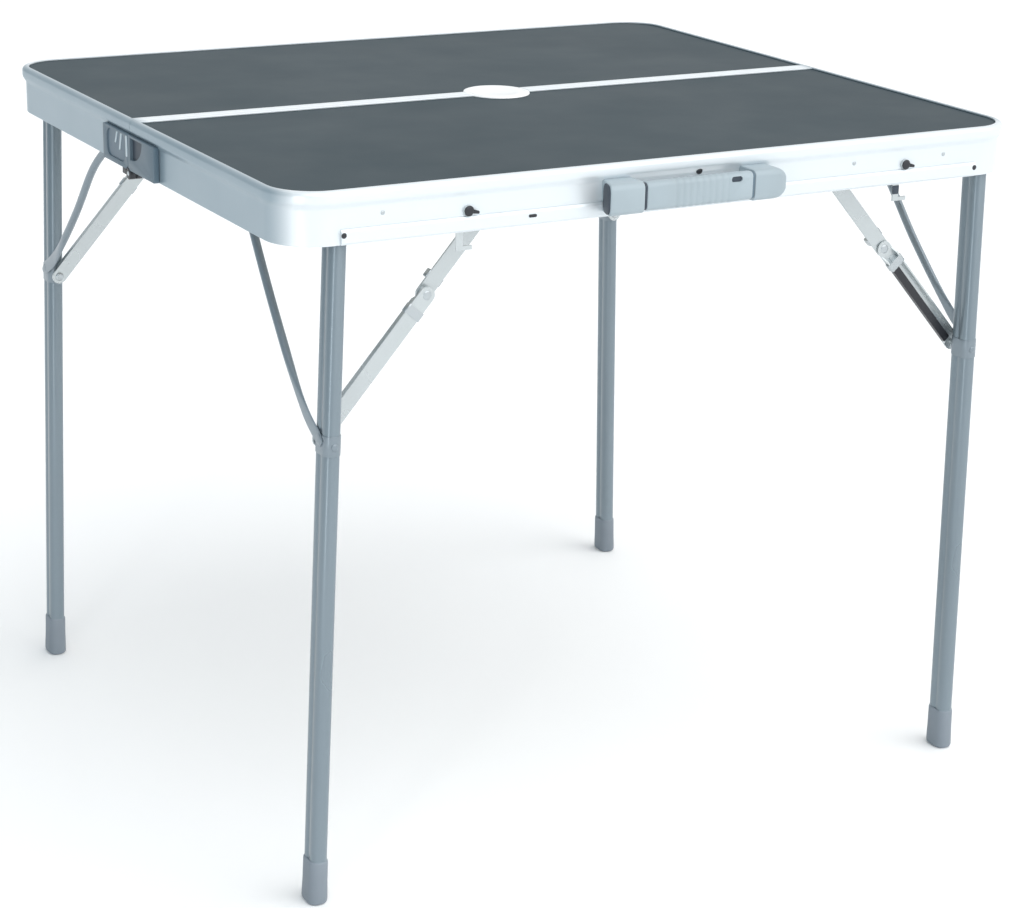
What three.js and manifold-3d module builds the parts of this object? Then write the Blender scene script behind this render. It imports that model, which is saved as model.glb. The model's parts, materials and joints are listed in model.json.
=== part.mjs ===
// A camping table that folds like a case. The top is two halves hinged along X; each half carries
// two legs that fold along X, each with a rigid strut and a two-link folding brace.
// Units are millimetres, +Z is up, X runs along the fold line and -Y is the side with the handle.
// The origin is on the floor under the middle of the object's bounding box.

import * as THREE from 'three';
import { mergeVertices } from 'three/addons/utils/BufferGeometryUtils.js';
import Module from 'manifold-3d';

const wasm = await Module();
wasm.setup();

// Driving dimensions of the table top
const TOP_LENGTH = 800;
const TOP_WIDTH = 700;
const TOP_HEIGHT = 680;
const RAIL_DEPTH = 48;
const CORNER_RADIUS = 48;
const GAP = 0.3;

// Rim section, measured inwards from the outermost face and downwards from the top
const BEAD_HEIGHT = 13;
const BEAD_PROUD = 3.5;
const WEB_THICKNESS = 1.5;
const LIP_WIDTH = 7;
const LIP_THICKNESS = 1.4;
const PANEL_THICKNESS = 4;
const LEDGE_WIDTH = 14;
const LEDGE_THICKNESS = 1.2;

// Fold line
const CENTRE_LIP_WIDTH = 10;
const CENTRE_RAIL_DEPTH = 30;
const FOLD_AXIS_BELOW_RAIL = 3;
const KNUCKLE_RADIUS = 6;
const KNUCKLE_LENGTH = 6.5;
const HINGE_PIN_RADIUS = 2.4;
const HINGE_COVER_HALF_WIDTH = 66;
const HINGE_COVER_PROUD = 2.5;

// Round cover over the parasol hole, split along the fold line
const COVER_RADIUS = 34;
const COVER_THICKNESS = 2;
const COVER_DEPTH = 12;
const COLLAR_RADIUS = 22;
const COLLAR_WALL = 3;

// Legs: when folded, the lower leg of a half lies under its upper leg.
// braceReach is the distance from the leg's pivot to the brace's pivot on the same half.
const LEG_Y = -328;
const JOINT_Z = 455;
const UPPER_LEG = { x: -341, pivotZ: 662.5, braceReach: 180 };
const LOWER_LEG = { x: 362, pivotZ: 644, braceReach: 168 };
const BRACE_BELOW_STRUT = 6;
const LEG_SPLAY = THREE.MathUtils.degToRad(1.8);
const TUBE_DEPTH_X = 16;
const TUBE_DEPTH_Y = 26;
const TUBE_WALL = 1.5;
const TUBE_CORNER = 6;
const FOOT_HEIGHT = 44;
const FOOT_DEPTH_X = 20;
const FOOT_DEPTH_Y = 28.6;
const FOOT_SOLE = 5;
const AXLE_RADIUS = 4;
const SHEET = 2;
const BRACKET_LENGTH = 28;
const BRACKET_REACH = 14;
const LUG_RADIUS = 10;
const ANCHOR_LUG_RADIUS = 7.5;
const LUG_CLEARANCE = 0.5;

// Strut and folding brace of each leg
const STRUT_RADIUS = 4;
const STRUT_SHEET = 1.8;
const STRUT_REACH = 190;
const EYE_RADIUS = 8;
const EYE_LENGTH = 9;
const LINK_WIDTH = 16;
const LINK_THICKNESS = 6.2;
const LINK_SHEET = 1.6;
const RIVET_RADIUS = 2.8;
const RIVET_HEAD_RADIUS = 5;
const RIVET_HEAD_HEIGHT = 2.2;

// Band along the lower edge of each long rail
const BAND_LENGTH = 690;
const BAND_HEIGHT = 13.6;
const BAND_THICKNESS = 2.7;

// Carrying handle
const HANDLE_LENGTH = 196;
const HANDLE_MOUNT_LENGTH = 38;
const HANDLE_X = 4;
const HANDLE_REACH = 24;
const HANDLE_HEIGHT = 29;
const GRIP_THICKNESS = 13;
const GRIP_PIN_RADIUS = 3;

// Latches: a hook swings about the rivet and catches a stud of the other half
const LATCH_X = [-222, 258];
const LATCH_PIVOT_ABOVE_RAIL = 19;
const LATCH_SHEET = 1.6;
const LATCH_ARM = 14;
const LATCH_LIP = 3.8;
const LATCH_HOOK_BACK = 10;
const LATCH_HOOK_INSIDE = 3.2;
const LATCH_HOOK_TIP = 6;
const LATCH_STUD_ABOVE_EDGE = 2.6;
const LATCH_STUD_RADIUS = 2;
const LATCH_SWING = THREE.MathUtils.degToRad(20);

// Levels and planes that follow from them
const X_OUT = TOP_LENGTH / 2;
const Y_OUT = TOP_WIDTH / 2;
const RAIL_BOTTOM = TOP_HEIGHT - RAIL_DEPTH;
const BEAD_BOTTOM = TOP_HEIGHT - BEAD_HEIGHT;
const PANEL_TOP = TOP_HEIGHT - LIP_THICKNESS - GAP;
const PANEL_BOTTOM = PANEL_TOP - PANEL_THICKNESS;
const LEDGE_TOP = PANEL_BOTTOM - GAP;
const LEDGE_BOTTOM = LEDGE_TOP - LEDGE_THICKNESS;
const FLANGE_TOP = PANEL_BOTTOM - GAP;
const FLANGE_BOTTOM = FLANGE_TOP - SHEET;
const WEB_OUTSIDE = BEAD_PROUD;
const WEB_INSIDE = BEAD_PROUD + WEB_THICKNESS;
const FOLD_AXIS_Z = RAIL_BOTTOM - FOLD_AXIS_BELOW_RAIL;
const HANDLE_TOP = BEAD_BOTTOM - GAP;
const WEB_FRONT_Y = -Y_OUT + WEB_OUTSIDE;
const WEB_BACK_Y = -Y_OUT + WEB_INSIDE;
const CENTRING_SHIFT = HANDLE_REACH / 2;
const CENTRE_WEB_BACK = -2.1;
const FOLD_EDGE = -CENTRE_WEB_BACK + GAP;
const PLATE_INSIDE = X_OUT - WEB_OUTSIDE + GAP;
const PLATE_OUTSIDE = X_OUT + HINGE_COVER_PROUD;
const HINGE_ARM_HALF = 2.4;
const AXLE_BORE = AXLE_RADIUS + GAP;
const LEG_TOP = 5.5;
const FOLD_SIDE_FACE = TUBE_DEPTH_Y / 2;
const LOWER_LINK_NEAR = FOOT_DEPTH_Y / 2 + 0.4;
const UPPER_LINK_NEAR = LOWER_LINK_NEAR + LINK_THICKNESS + LUG_CLEARANCE;
const ANCHOR_LUG_NEAR = UPPER_LINK_NEAR + LINK_THICKNESS + LUG_CLEARANCE;
const LEG_LUG_NEAR = FOLD_SIDE_FACE + LUG_CLEARANCE;
const STRUT_LUG_NEAR = STRUT_REACH + EYE_LENGTH / 2 + LUG_CLEARANCE;
const GRIP_PIVOT = { y: -Y_OUT - 14, z: HANDLE_TOP - 6 };
const LATCH_Z = RAIL_BOTTOM + LATCH_PIVOT_ABOVE_RAIL;
const LATCH_DROP = LATCH_PIVOT_ABOVE_RAIL + 2 * FOLD_AXIS_BELOW_RAIL + LATCH_STUD_ABOVE_EDGE;
const LATCH_REACH = LATCH_DROP / Math.cos(LATCH_SWING);

const MATERIALS = {
  laminate: { color: 0x3f4a50, roughness: 0.5, metalness: 0 },
  rim: { color: 0xdfe5ea, roughness: 0.35, metalness: 0.9 },
  leg: { color: 0x8d9ba5, roughness: 0.4, metalness: 0.5 },
  bright: { color: 0xd6dadd, roughness: 0.35, metalness: 0.9 },
  grey_plastic: { color: 0x9fb0b8, roughness: 0.5, metalness: 0 },
  slate_plastic: { color: 0x56646c, roughness: 0.45, metalness: 0 },
  white_plastic: { color: 0xf2f3f3, roughness: 0.4, metalness: 0 },
  dark_metal: { color: 0x33383c, roughness: 0.4, metalness: 0.7 },
};

// ---------- solids ----------

function toSolid(geometry) {
  const bare = geometry.clone();
  bare.deleteAttribute('normal');
  bare.deleteAttribute('uv');
  const merged = mergeVertices(bare, 1e-4);
  return new wasm.Manifold(new wasm.Mesh({
    numProp: 3,
    vertProperties: new Float32Array(merged.attributes.position.array),
    triVerts: new Uint32Array(merged.index.array),
  }));
}

function toGeometry(solid) {
  const mesh = solid.getMesh();
  const geometry = new THREE.BufferGeometry();
  geometry.setAttribute('position', new THREE.BufferAttribute(new Float32Array(mesh.vertProperties), 3));
  geometry.setIndex(new THREE.BufferAttribute(new Uint32Array(mesh.triVerts), 1));
  geometry.computeVertexNormals();
  return geometry;
}

function join(...geometries) {
  return toGeometry(geometries.map(toSolid).reduce((sum, solid) => sum.add(solid)));
}

function cut(geometry, ...tools) {
  return toGeometry(tools.map(toSolid).reduce((rest, tool) => rest.subtract(tool), toSolid(geometry)));
}

function common(geometry, other) {
  return toGeometry(toSolid(geometry).intersect(toSolid(other)));
}

// ---------- basic shapes ----------

function block(x, y, z) {
  const box = new THREE.BoxGeometry(x[1] - x[0], y[1] - y[0], z[1] - z[0]);
  return box.translate((x[0] + x[1]) / 2, (y[0] + y[1]) / 2, (z[0] + z[1]) / 2);
}

function rodX(radius, x, y, z, sides = 20) {
  const rod = new THREE.CylinderGeometry(radius, radius, x[1] - x[0], sides);
  return rod.rotateZ(Math.PI / 2).translate((x[0] + x[1]) / 2, y, z);
}

function rodY(radius, x, y, z, sides = 20) {
  const rod = new THREE.CylinderGeometry(radius, radius, y[1] - y[0], sides);
  return rod.translate(x, (y[0] + y[1]) / 2, z);
}

function rodZ(radius, x, y, z, sides = 48) {
  const rod = new THREE.CylinderGeometry(radius, radius, z[1] - z[0], sides);
  return rod.rotateX(Math.PI / 2).translate(x, y, (z[0] + z[1]) / 2);
}

function extrude(shape, length, curveSegments = 5) {
  return new THREE.ExtrudeGeometry(shape, { depth: length, bevelEnabled: false, steps: 1, curveSegments });
}

// A shape drawn in (y, z), extruded from x[0] to x[1]
function prismX(shape, x, curveSegments) {
  const turned = new THREE.Matrix4().makeBasis(
    new THREE.Vector3(0, 1, 0), new THREE.Vector3(0, 0, 1), new THREE.Vector3(1, 0, 0));
  return extrude(shape, x[1] - x[0], curveSegments).applyMatrix4(turned).translate(x[0], 0, 0);
}

// A shape drawn in (x, z), extruded from y[0] to y[1]
function prismY(shape, y, curveSegments) {
  return extrude(shape, y[1] - y[0], curveSegments).rotateX(Math.PI / 2).translate(0, y[1], 0);
}

// A shape drawn in (x, y), extruded from z[0] to z[1]
function prismZ(shape, z, curveSegments) {
  return extrude(shape, z[1] - z[0], curveSegments).translate(0, 0, z[0]);
}

function polygon(points) {
  return new THREE.Shape(points.map(([a, b]) => new THREE.Vector2(a, b)));
}

// A closed ring about the Y axis; its section is [radius, height] points, counterclockwise
function lathe(section, segments) {
  const points = section.map(([radius, height]) => new THREE.Vector2(radius, height));
  points.push(points[0].clone());
  return new THREE.LatheGeometry(points, segments);
}

// A rectangle with round corners, between low and high along each axis
function roundedRectangle(a, b, radius) {
  const shape = new THREE.Shape();
  shape.absarc(a[1] - radius, b[1] - radius, radius, 0, Math.PI / 2, false);
  shape.absarc(a[0] + radius, b[1] - radius, radius, Math.PI / 2, Math.PI, false);
  shape.absarc(a[0] + radius, b[0] + radius, radius, Math.PI, 1.5 * Math.PI, false);
  shape.absarc(a[1] - radius, b[0] + radius, radius, 1.5 * Math.PI, 2 * Math.PI, false);
  return shape;
}

function centredRectangle(width, height, radius) {
  return roundedRectangle([-width / 2, width / 2], [-height / 2, height / 2], radius);
}

// ---------- rim, panel and centre rail of one half, drawn as the front half (y < 0) ----------

// The rim's section: each point is [distance in from the outer face, z]
function rimSection() {
  const bead = [];
  const radius = 4;
  const steps = 4;
  for (let i = 0; i <= steps; i += 1) {
    const angle = (i / steps) * (Math.PI / 2);
    bead.push([radius - radius * Math.sin(angle), TOP_HEIGHT - radius + radius * Math.cos(angle)]);
  }
  return [
    [LIP_WIDTH, TOP_HEIGHT - LIP_THICKNESS],
    [LIP_WIDTH, TOP_HEIGHT],
    ...bead,
    [0, BEAD_BOTTOM + 2.5],
    [1.2, BEAD_BOTTOM + 0.6],
    [WEB_OUTSIDE, BEAD_BOTTOM],
    [WEB_OUTSIDE, RAIL_BOTTOM],
    [WEB_INSIDE, RAIL_BOTTOM],
    [WEB_INSIDE, LEDGE_BOTTOM],
    [LEDGE_WIDTH, LEDGE_BOTTOM],
    [LEDGE_WIDTH, LEDGE_TOP],
    [WEB_INSIDE, LEDGE_TOP],
    [WEB_INSIDE, TOP_HEIGHT - LIP_THICKNESS],
  ];
}

// A quarter turn of the rim's section round the corner on the given side
function rimCorner(side) {
  const centre = new THREE.Vector3(side * (X_OUT - CORNER_RADIUS), -Y_OUT + CORNER_RADIUS, 0);
  const profile = rimSection().map(([inset, z]) => [CORNER_RADIUS - inset, z]);
  const ring = lathe(profile.reverse(), 36).rotateX(Math.PI / 2);
  ring.translate(centre.x, centre.y, 0);
  const far = side * (X_OUT + 1);
  const across = [Math.min(centre.x, far), Math.max(centre.x, far)];
  return common(ring, block(across, [-Y_OUT - 1, centre.y], [RAIL_BOTTOM - 1, TOP_HEIGHT + 1]));
}

function rimShell() {
  const section = rimSection();
  const straight = X_OUT - CORNER_RADIUS;
  const front = polygon(section.map(([inset, z]) => [-Y_OUT + inset, z]));
  const pieces = [prismX(front, [-straight, straight]), rimCorner(-1), rimCorner(1)];
  for (const side of [-1, 1]) {
    const outline = section.map(([inset, z]) => [side * (X_OUT - inset), z]);
    pieces.push(prismY(polygon(outline), [-Y_OUT + CORNER_RADIUS, -GAP]));
  }
  return join(...pieces);
}

function rimGeometry(holes) {
  const endOfRail = X_OUT - WEB_INSIDE;
  const foldY = [-CENTRE_LIP_WIDTH - GAP, 1];
  const foldCut = block([-endOfRail, endOfRail], foldY, [LEDGE_BOTTOM - 1, TOP_HEIGHT + 1]);
  const knuckleCut = rodX(KNUCKLE_RADIUS + 0.8, [-X_OUT - 1, X_OUT + 1], 0, FOLD_AXIS_Z, 24);
  return cut(rimShell(), foldCut, knuckleCut, ...holes);
}

function panelGeometry() {
  const edge = WEB_INSIDE + GAP;
  const x = X_OUT - edge;
  const front = -Y_OUT + edge;
  const radius = CORNER_RADIUS - edge;
  const outline = new THREE.Shape();
  outline.moveTo(x, -FOLD_EDGE);
  outline.lineTo(-x, -FOLD_EDGE);
  outline.absarc(-x + radius, front + radius, radius, Math.PI, 1.5 * Math.PI, false);
  outline.absarc(x - radius, front + radius, radius, 1.5 * Math.PI, 2 * Math.PI, false);
  const plate = prismZ(outline, [PANEL_BOTTOM, PANEL_TOP], 9);
  return cut(plate, rodZ(COLLAR_RADIUS + GAP, 0, 0, [PANEL_BOTTOM - 1, PANEL_TOP + 1]));
}

function centreRailGeometry() {
  const web = CENTRE_WEB_BACK;
  const lip = -CENTRE_LIP_WIDTH;
  const lipBottom = TOP_HEIGHT - LIP_THICKNESS;
  const section = polygon([
    [-GAP, TOP_HEIGHT - 0.4],
    [-GAP - 0.4, TOP_HEIGHT],
    [lip + 0.4, TOP_HEIGHT],
    [lip, TOP_HEIGHT - 0.4],
    [lip, lipBottom],
    [web, lipBottom],
    [web, LEDGE_TOP],
    [lip, LEDGE_TOP],
    [lip, LEDGE_BOTTOM],
    [web, LEDGE_BOTTOM],
    [web, TOP_HEIGHT - CENTRE_RAIL_DEPTH],
    [-GAP, TOP_HEIGHT - CENTRE_RAIL_DEPTH],
  ]);
  const end = X_OUT - WEB_INSIDE - GAP;
  const saddleRadius = COLLAR_RADIUS + 8;
  const saddle = common(
    rodZ(saddleRadius, 0, 0, [LEDGE_BOTTOM, LEDGE_TOP]),
    block([-saddleRadius, saddleRadius], [-saddleRadius, -GAP], [LEDGE_BOTTOM - 1, LEDGE_TOP + 1]));
  return cut(
    join(prismX(section, [-end, end]), saddle),
    rodZ(COLLAR_RADIUS + GAP, 0, 0, [RAIL_BOTTOM, TOP_HEIGHT + 1]),
    rodZ(COVER_RADIUS + GAP, 0, 0, [lipBottom - GAP, TOP_HEIGHT + 1]));
}

function coverGeometry() {
  const flange = rodZ(COVER_RADIUS, 0, 0, [PANEL_TOP + GAP, TOP_HEIGHT]);
  const collar = rodZ(COLLAR_RADIUS, 0, 0, [TOP_HEIGHT - COVER_DEPTH, TOP_HEIGHT - COVER_THICKNESS / 2]);
  const hollow = rodZ(COLLAR_RADIUS - COLLAR_WALL, 0, 0, [RAIL_BOTTOM, TOP_HEIGHT - COVER_THICKNESS]);
  const reach = COVER_RADIUS + 1;
  const half = block([-reach, reach], [-reach, -GAP], [RAIL_BOTTOM, TOP_HEIGHT + 1]);
  return common(cut(join(flange, collar), hollow), half);
}

function bandGeometry() {
  const back = WEB_FRONT_Y - GAP;
  const front = back - BAND_THICKNESS;
  const bottom = RAIL_BOTTOM + GAP;
  const top = bottom + BAND_HEIGHT;
  const section = polygon([
    [back, bottom],
    [back, top],
    [front + 1.5, top],
    [front, top - 2],
    [front, bottom + 2],
    [front + 1.5, bottom],
  ]);
  return prismX(section, [-BAND_LENGTH / 2, BAND_LENGTH / 2]);
}

// ---------- hinge covers and pins ----------

// Low and high x of a stretch given by its distances from the middle on one side
function onSide(side, near, far) {
  return side > 0 ? [near, far] : [-far, -near];
}

function hingeCoverGeometry(side, innerKnuckle) {
  const plateX = onSide(side, PLATE_INSIDE, PLATE_OUTSIDE);
  const wideOutline = roundedRectangle(
    [-HINGE_COVER_HALF_WIDTH, HINGE_COVER_HALF_WIDTH], [RAIL_BOTTOM + 0.4, BEAD_BOTTOM - 0.4], 5);
  const acrossFold = block(onSide(side, 300, 500), [-GAP, 100], [600, 700]);
  const plate = cut(prismX(wideOutline, plateX), acrossFold);
  const pinHole = rodX(HINGE_PIN_RADIUS + 0.4, onSide(side, 380, 410), 0, FOLD_AXIS_Z, 16);
  if (!innerKnuckle) {
    const outerX = onSide(side, PLATE_OUTSIDE - KNUCKLE_LENGTH, PLATE_OUTSIDE);
    return cut(join(plate, rodX(KNUCKLE_RADIUS, outerX, 0, FOLD_AXIS_Z, 24)), pinHole);
  }
  const knuckleFar = PLATE_OUTSIDE - KNUCKLE_LENGTH - GAP;
  const innerX = onSide(side, knuckleFar - KNUCKLE_LENGTH, knuckleFar);
  const armX = onSide(side, knuckleFar - KNUCKLE_LENGTH, PLATE_OUTSIDE);
  const armZ = [FOLD_AXIS_Z - HINGE_ARM_HALF, FOLD_AXIS_Z + HINGE_ARM_HALF];
  const armNear = -KNUCKLE_RADIUS - 1.5;
  const relief = rodX(KNUCKLE_RADIUS + 0.6, onSide(side, knuckleFar, 410), 0, FOLD_AXIS_Z, 24);
  return cut(
    join(
      cut(plate, relief),
      block(plateX, [armNear - 9, armNear], [armZ[0], RAIL_BOTTOM + 2]),
      block(armX, [armNear - 9, armNear], armZ),
      block(innerX, [armNear - 2, 0], armZ),
      rodX(KNUCKLE_RADIUS, innerX, 0, FOLD_AXIS_Z, 24)),
    pinHole);
}

function hingePinGeometry(side) {
  const near = PLATE_OUTSIDE - 2 * KNUCKLE_LENGTH - GAP - 0.5;
  return rodX(HINGE_PIN_RADIUS, onSide(side, near, PLATE_OUTSIDE + 0.3), 0, FOLD_AXIS_Z, 16);
}

// ---------- brackets ----------

// A lug that hangs from the flange and rounds the pivot, drawn in (x, z)
function lugShape(x, pivotZ, radius) {
  const shape = new THREE.Shape();
  shape.moveTo(x + radius, FLANGE_TOP);
  shape.lineTo(x - radius, FLANGE_TOP);
  shape.absarc(x, pivotZ, radius, Math.PI, 2 * Math.PI, false);
  return shape;
}

// A pressed bracket under the panel; its lug hangs at lugNear from the middle of the leg
function bracketGeometry(x, pivotZ, lugNear, lugRadius) {
  const lugY = [LEG_Y + lugNear, LEG_Y + lugNear + SHEET];
  const flangeX = [x - BRACKET_LENGTH / 2, x + BRACKET_LENGTH / 2];
  return join(
    block(flangeX, [lugY[0], lugY[1] + BRACKET_REACH], [FLANGE_BOTTOM, FLANGE_TOP]),
    prismY(lugShape(x, pivotZ, lugRadius), lugY, 6));
}

// A bearing of the leg's axle: one beside the tube, one past the strut's eye
function bearingGeometry(leg, lugNear) {
  const boreY = [LEG_Y + lugNear - 1, LEG_Y + lugNear + SHEET + 1];
  return cut(
    bracketGeometry(leg.x, leg.pivotZ, lugNear, LUG_RADIUS),
    rodY(AXLE_BORE, leg.x, boreY, leg.pivotZ, 16));
}

// The lug and pin that carry the brace's upper link
function braceAnchorGeometry(leg) {
  const pivot = braceLayout(leg).onHalf;
  const pinY = [LEG_Y + UPPER_LINK_NEAR + 0.1, LEG_Y + ANCHOR_LUG_NEAR + SHEET];
  return join(
    bracketGeometry(pivot.x, pivot.y, ANCHOR_LUG_NEAR, ANCHOR_LUG_RADIUS),
    rodY(RIVET_RADIUS, pivot.x, pinY, pivot.y, 12));
}

// ---------- legs, drawn with the pivot at the origin and the tube hanging down ----------

function legLength(leg) {
  return leg.pivotZ / Math.cos(LEG_SPLAY);
}

function strutDrop(leg) {
  return leg.pivotZ - JOINT_Z;
}

function legTubeGeometry(leg) {
  const section = centredRectangle(TUBE_DEPTH_X, TUBE_DEPTH_Y, TUBE_CORNER);
  const inside = [TUBE_DEPTH_X - 2 * TUBE_WALL, TUBE_DEPTH_Y - 2 * TUBE_WALL, TUBE_CORNER - TUBE_WALL];
  section.holes.push(centredRectangle(...inside));
  const tube = prismZ(section, [-legLength(leg) + FOOT_SOLE + GAP, LEG_TOP], 3);
  const axleHole = rodY(AXLE_BORE, 0, [-20, 20], 0, 16);
  const wallY = [FOLD_SIDE_FACE - 3, FOLD_SIDE_FACE + 3];
  const rivetHole = rodY(RIVET_RADIUS + GAP, 0, wallY, -strutDrop(leg) - BRACE_BELOW_STRUT, 10);
  return cut(tube, axleHole, rivetHole);
}

function footGeometry(leg) {
  const length = legLength(leg);
  const outside = centredRectangle(FOOT_DEPTH_X, FOOT_DEPTH_Y, 8);
  const pocket = centredRectangle(TUBE_DEPTH_X + 2 * GAP, TUBE_DEPTH_Y + 2 * GAP, TUBE_CORNER + GAP);
  const cap = prismZ(outside, [-length - 2, -length + FOOT_HEIGHT], 4);
  const room = prismZ(pocket, [-length + FOOT_SOLE, 0], 3);
  const below = block([-50, 50], [-50, 50], [-50, 0]);
  below.translate(0, 0, -leg.pivotZ).rotateY(leg.side * LEG_SPLAY);
  return cut(cap, room, below);
}

// A rod with a flattened end on the tube's outer face and an eye on the axle
function strutGeometry(leg) {
  const drop = strutDrop(leg);
  const face = TUBE_DEPTH_X / 2 + GAP;
  const plane = leg.side * (face + STRUT_SHEET / 2);
  const flatLength = 36;
  const flatRise = 22;
  const flat = new THREE.Shape();
  const flatAngle = Math.atan2(flatRise, flatLength);
  flat.absarc(0, -drop, 7, flatAngle + Math.PI / 2, flatAngle + 1.5 * Math.PI, false);
  flat.absarc(flatLength, -drop + flatRise, 5, flatAngle - Math.PI / 2, flatAngle + Math.PI / 2, false);
  const points = [
    [plane, flatLength, -drop + flatRise],
    [plane, flatLength + 10, -drop + flatRise + 9],
    [plane, 98, -drop * 0.57],
    [plane, 148, -drop * 0.27],
    [plane * 0.6, STRUT_REACH - 8, -12],
    [plane * 0.1, STRUT_REACH, -3],
  ];
  const path = new THREE.CatmullRomCurve3(points.map((point) => new THREE.Vector3(...point)));
  const section = new THREE.Shape();
  section.absarc(0, 0, STRUT_RADIUS, 0, 2 * Math.PI, false);
  const rod = new THREE.ExtrudeGeometry(section, { extrudePath: path, steps: 12, curveSegments: 3 });
  const eyeY = [STRUT_REACH - EYE_LENGTH / 2, STRUT_REACH + EYE_LENGTH / 2];
  const flatEnd = prismX(flat, onSide(leg.side, face, face + STRUT_SHEET), 6);
  const eye = rodY(EYE_RADIUS, 0, eyeY, 0, 16);
  return cut(join(rod, flatEnd, eye), rodY(AXLE_BORE, 0, [eyeY[0] - 5, eyeY[1] + 5], 0, 16));
}

function axleGeometry() {
  const end = STRUT_LUG_NEAR + SHEET + 1.5;
  return rodY(AXLE_RADIUS, 0, [-FOLD_SIDE_FACE - 0.5, end], 0, 16);
}

// ---------- folding braces ----------

// Seen along Y: the brace's pivots on the half and on the leg, and the lengths of its two links,
// which lie straight when the leg stands and one along the other when it is folded
function braceLayout(leg) {
  const onLegDistance = strutDrop(leg) + BRACE_BELOW_STRUT;
  const onHalf = new THREE.Vector2(leg.x - leg.side * leg.braceReach, leg.pivotZ);
  const onLeg = new THREE.Vector2(0, -onLegDistance).rotateAround(new THREE.Vector2(), leg.side * LEG_SPLAY);
  onLeg.add(new THREE.Vector2(leg.x, leg.pivotZ));
  const span = onHalf.distanceTo(onLeg);
  const difference = onLegDistance - leg.braceReach;
  return { onHalf, onLeg, upperLength: (span - difference) / 2, lowerLength: (span + difference) / 2 };
}

// A pressed channel from a pivot at the origin along +X; its open side faces the fold line
function linkGeometry(length, near) {
  const half = LINK_WIDTH / 2;
  const plate = new THREE.Shape();
  plate.absarc(length, 0, half, -Math.PI / 2, Math.PI / 2, false);
  plate.absarc(0, 0, half, Math.PI / 2, 1.5 * Math.PI, false);
  const wallX = [half, length - half];
  const wallY = [near, near + LINK_THICKNESS];
  return join(
    prismY(plate, [near, near + LINK_SHEET], 6),
    block(wallX, wallY, [half - LINK_SHEET, half]),
    block(wallX, wallY, [-half, -half + LINK_SHEET]));
}

function upperLinkGeometry(length) {
  return cut(linkGeometry(length, UPPER_LINK_NEAR), rodY(RIVET_RADIUS + GAP, 0, [0, 40], 0, 12));
}

// The lower link carries the pin that turns in the tube's wall
function lowerLinkGeometry(length) {
  const pin = rodY(RIVET_RADIUS, 0, [FOLD_SIDE_FACE - 3, LOWER_LINK_NEAR + LINK_SHEET + 1.5], 0, 12);
  return join(linkGeometry(length, LOWER_LINK_NEAR), pin);
}

// A rivet through the long rail, with its head outside
function railRivetGeometry(x, z, end) {
  const headOutside = WEB_FRONT_Y - GAP - RIVET_HEAD_HEIGHT;
  return join(
    rodY(RIVET_HEAD_RADIUS, x, [headOutside, WEB_FRONT_Y - GAP], z, 16),
    rodY(RIVET_RADIUS, x, [headOutside + 1, end], z, 12));
}

// ---------- handle ----------

function handleSection() {
  const bottom = HANDLE_TOP - HANDLE_HEIGHT;
  return roundedRectangle([-Y_OUT - HANDLE_REACH, -Y_OUT + 20], [bottom, HANDLE_TOP], 6);
}

function handleMountGeometry(side) {
  const inner = HANDLE_LENGTH / 2 - HANDLE_MOUNT_LENGTH;
  const outer = HANDLE_LENGTH / 2;
  const x = onSide(side, inner, outer).map((value) => value + HANDLE_X);
  const longX = side > 0 ? [x[0] - 30, x[1]] : [x[0], x[1] + 30];
  const bottom = HANDLE_TOP - HANDLE_HEIGHT;
  const frontView = roundedRectangle(longX, [bottom, HANDLE_TOP], 10);
  const body = common(
    common(prismX(handleSection(), x), prismY(frontView, [-Y_OUT - 60, -Y_OUT + 30])),
    block(x, [-Y_OUT - 60, WEB_FRONT_Y - GAP], [bottom - 1, HANDLE_TOP + 1]));
  const bandFront = WEB_FRONT_Y - BAND_THICKNESS - 2 * GAP;
  const bandTop = RAIL_BOTTOM + BAND_HEIGHT + 2 * GAP;
  const bandRoom = block([x[0] - 1, x[1] + 1], [bandFront, 0], [0, bandTop]);
  const socketX = onSide(side, inner - 1, inner + 8).map((value) => value + HANDLE_X);
  const socket = rodX(GRIP_PIN_RADIUS + GAP, socketX, GRIP_PIVOT.y, GRIP_PIVOT.z, 16);
  return cut(body, bandRoom, socket);
}

function gripGeometry() {
  const inner = HANDLE_LENGTH / 2 - HANDLE_MOUNT_LENGTH;
  const front = -Y_OUT - HANDLE_REACH;
  const section = roundedRectangle([front, front + GRIP_THICKNESS], [HANDLE_TOP - 27, HANDLE_TOP - 0.7], 5);
  const bar = prismX(section, [HANDLE_X - inner + 0.6, HANDLE_X + inner - 0.6]);
  const pins = rodX(
    GRIP_PIN_RADIUS, [HANDLE_X - inner - 6.5, HANDLE_X + inner + 6.5], GRIP_PIVOT.y, GRIP_PIVOT.z, 16);
  return join(bar, pins);
}

// ---------- latches ----------

// The hook hangs from its rivet; the stud lies above its lip once it has swung by LATCH_SWING
function latchGeometry(x) {
  const lipTop = LATCH_Z - LATCH_REACH - LATCH_STUD_RADIUS - 0.8;
  const lipBottom = lipTop - LATCH_LIP;
  const neckZ = LATCH_Z - 12;
  const hook = polygon([
    [x - 6, LATCH_Z + 2],
    [x - LATCH_HOOK_BACK, neckZ],
    [x - LATCH_HOOK_BACK, lipBottom],
    [x + LATCH_HOOK_TIP, lipBottom],
    [x + LATCH_HOOK_TIP, lipTop],
    [x - LATCH_HOOK_INSIDE, lipTop],
    [x - LATCH_HOOK_INSIDE, neckZ],
    [x + 3, LATCH_Z - 5],
    [x + LATCH_ARM, LATCH_Z - 5],
    [x + LATCH_ARM, LATCH_Z + 5],
    [x - 3, LATCH_Z + 5],
  ]);
  const plateY = [WEB_BACK_Y + 0.5, WEB_BACK_Y + 0.5 + LATCH_SHEET];
  return join(prismY(hook, plateY), railRivetGeometry(x, LATCH_Z, plateY[1] - 0.2));
}

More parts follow.
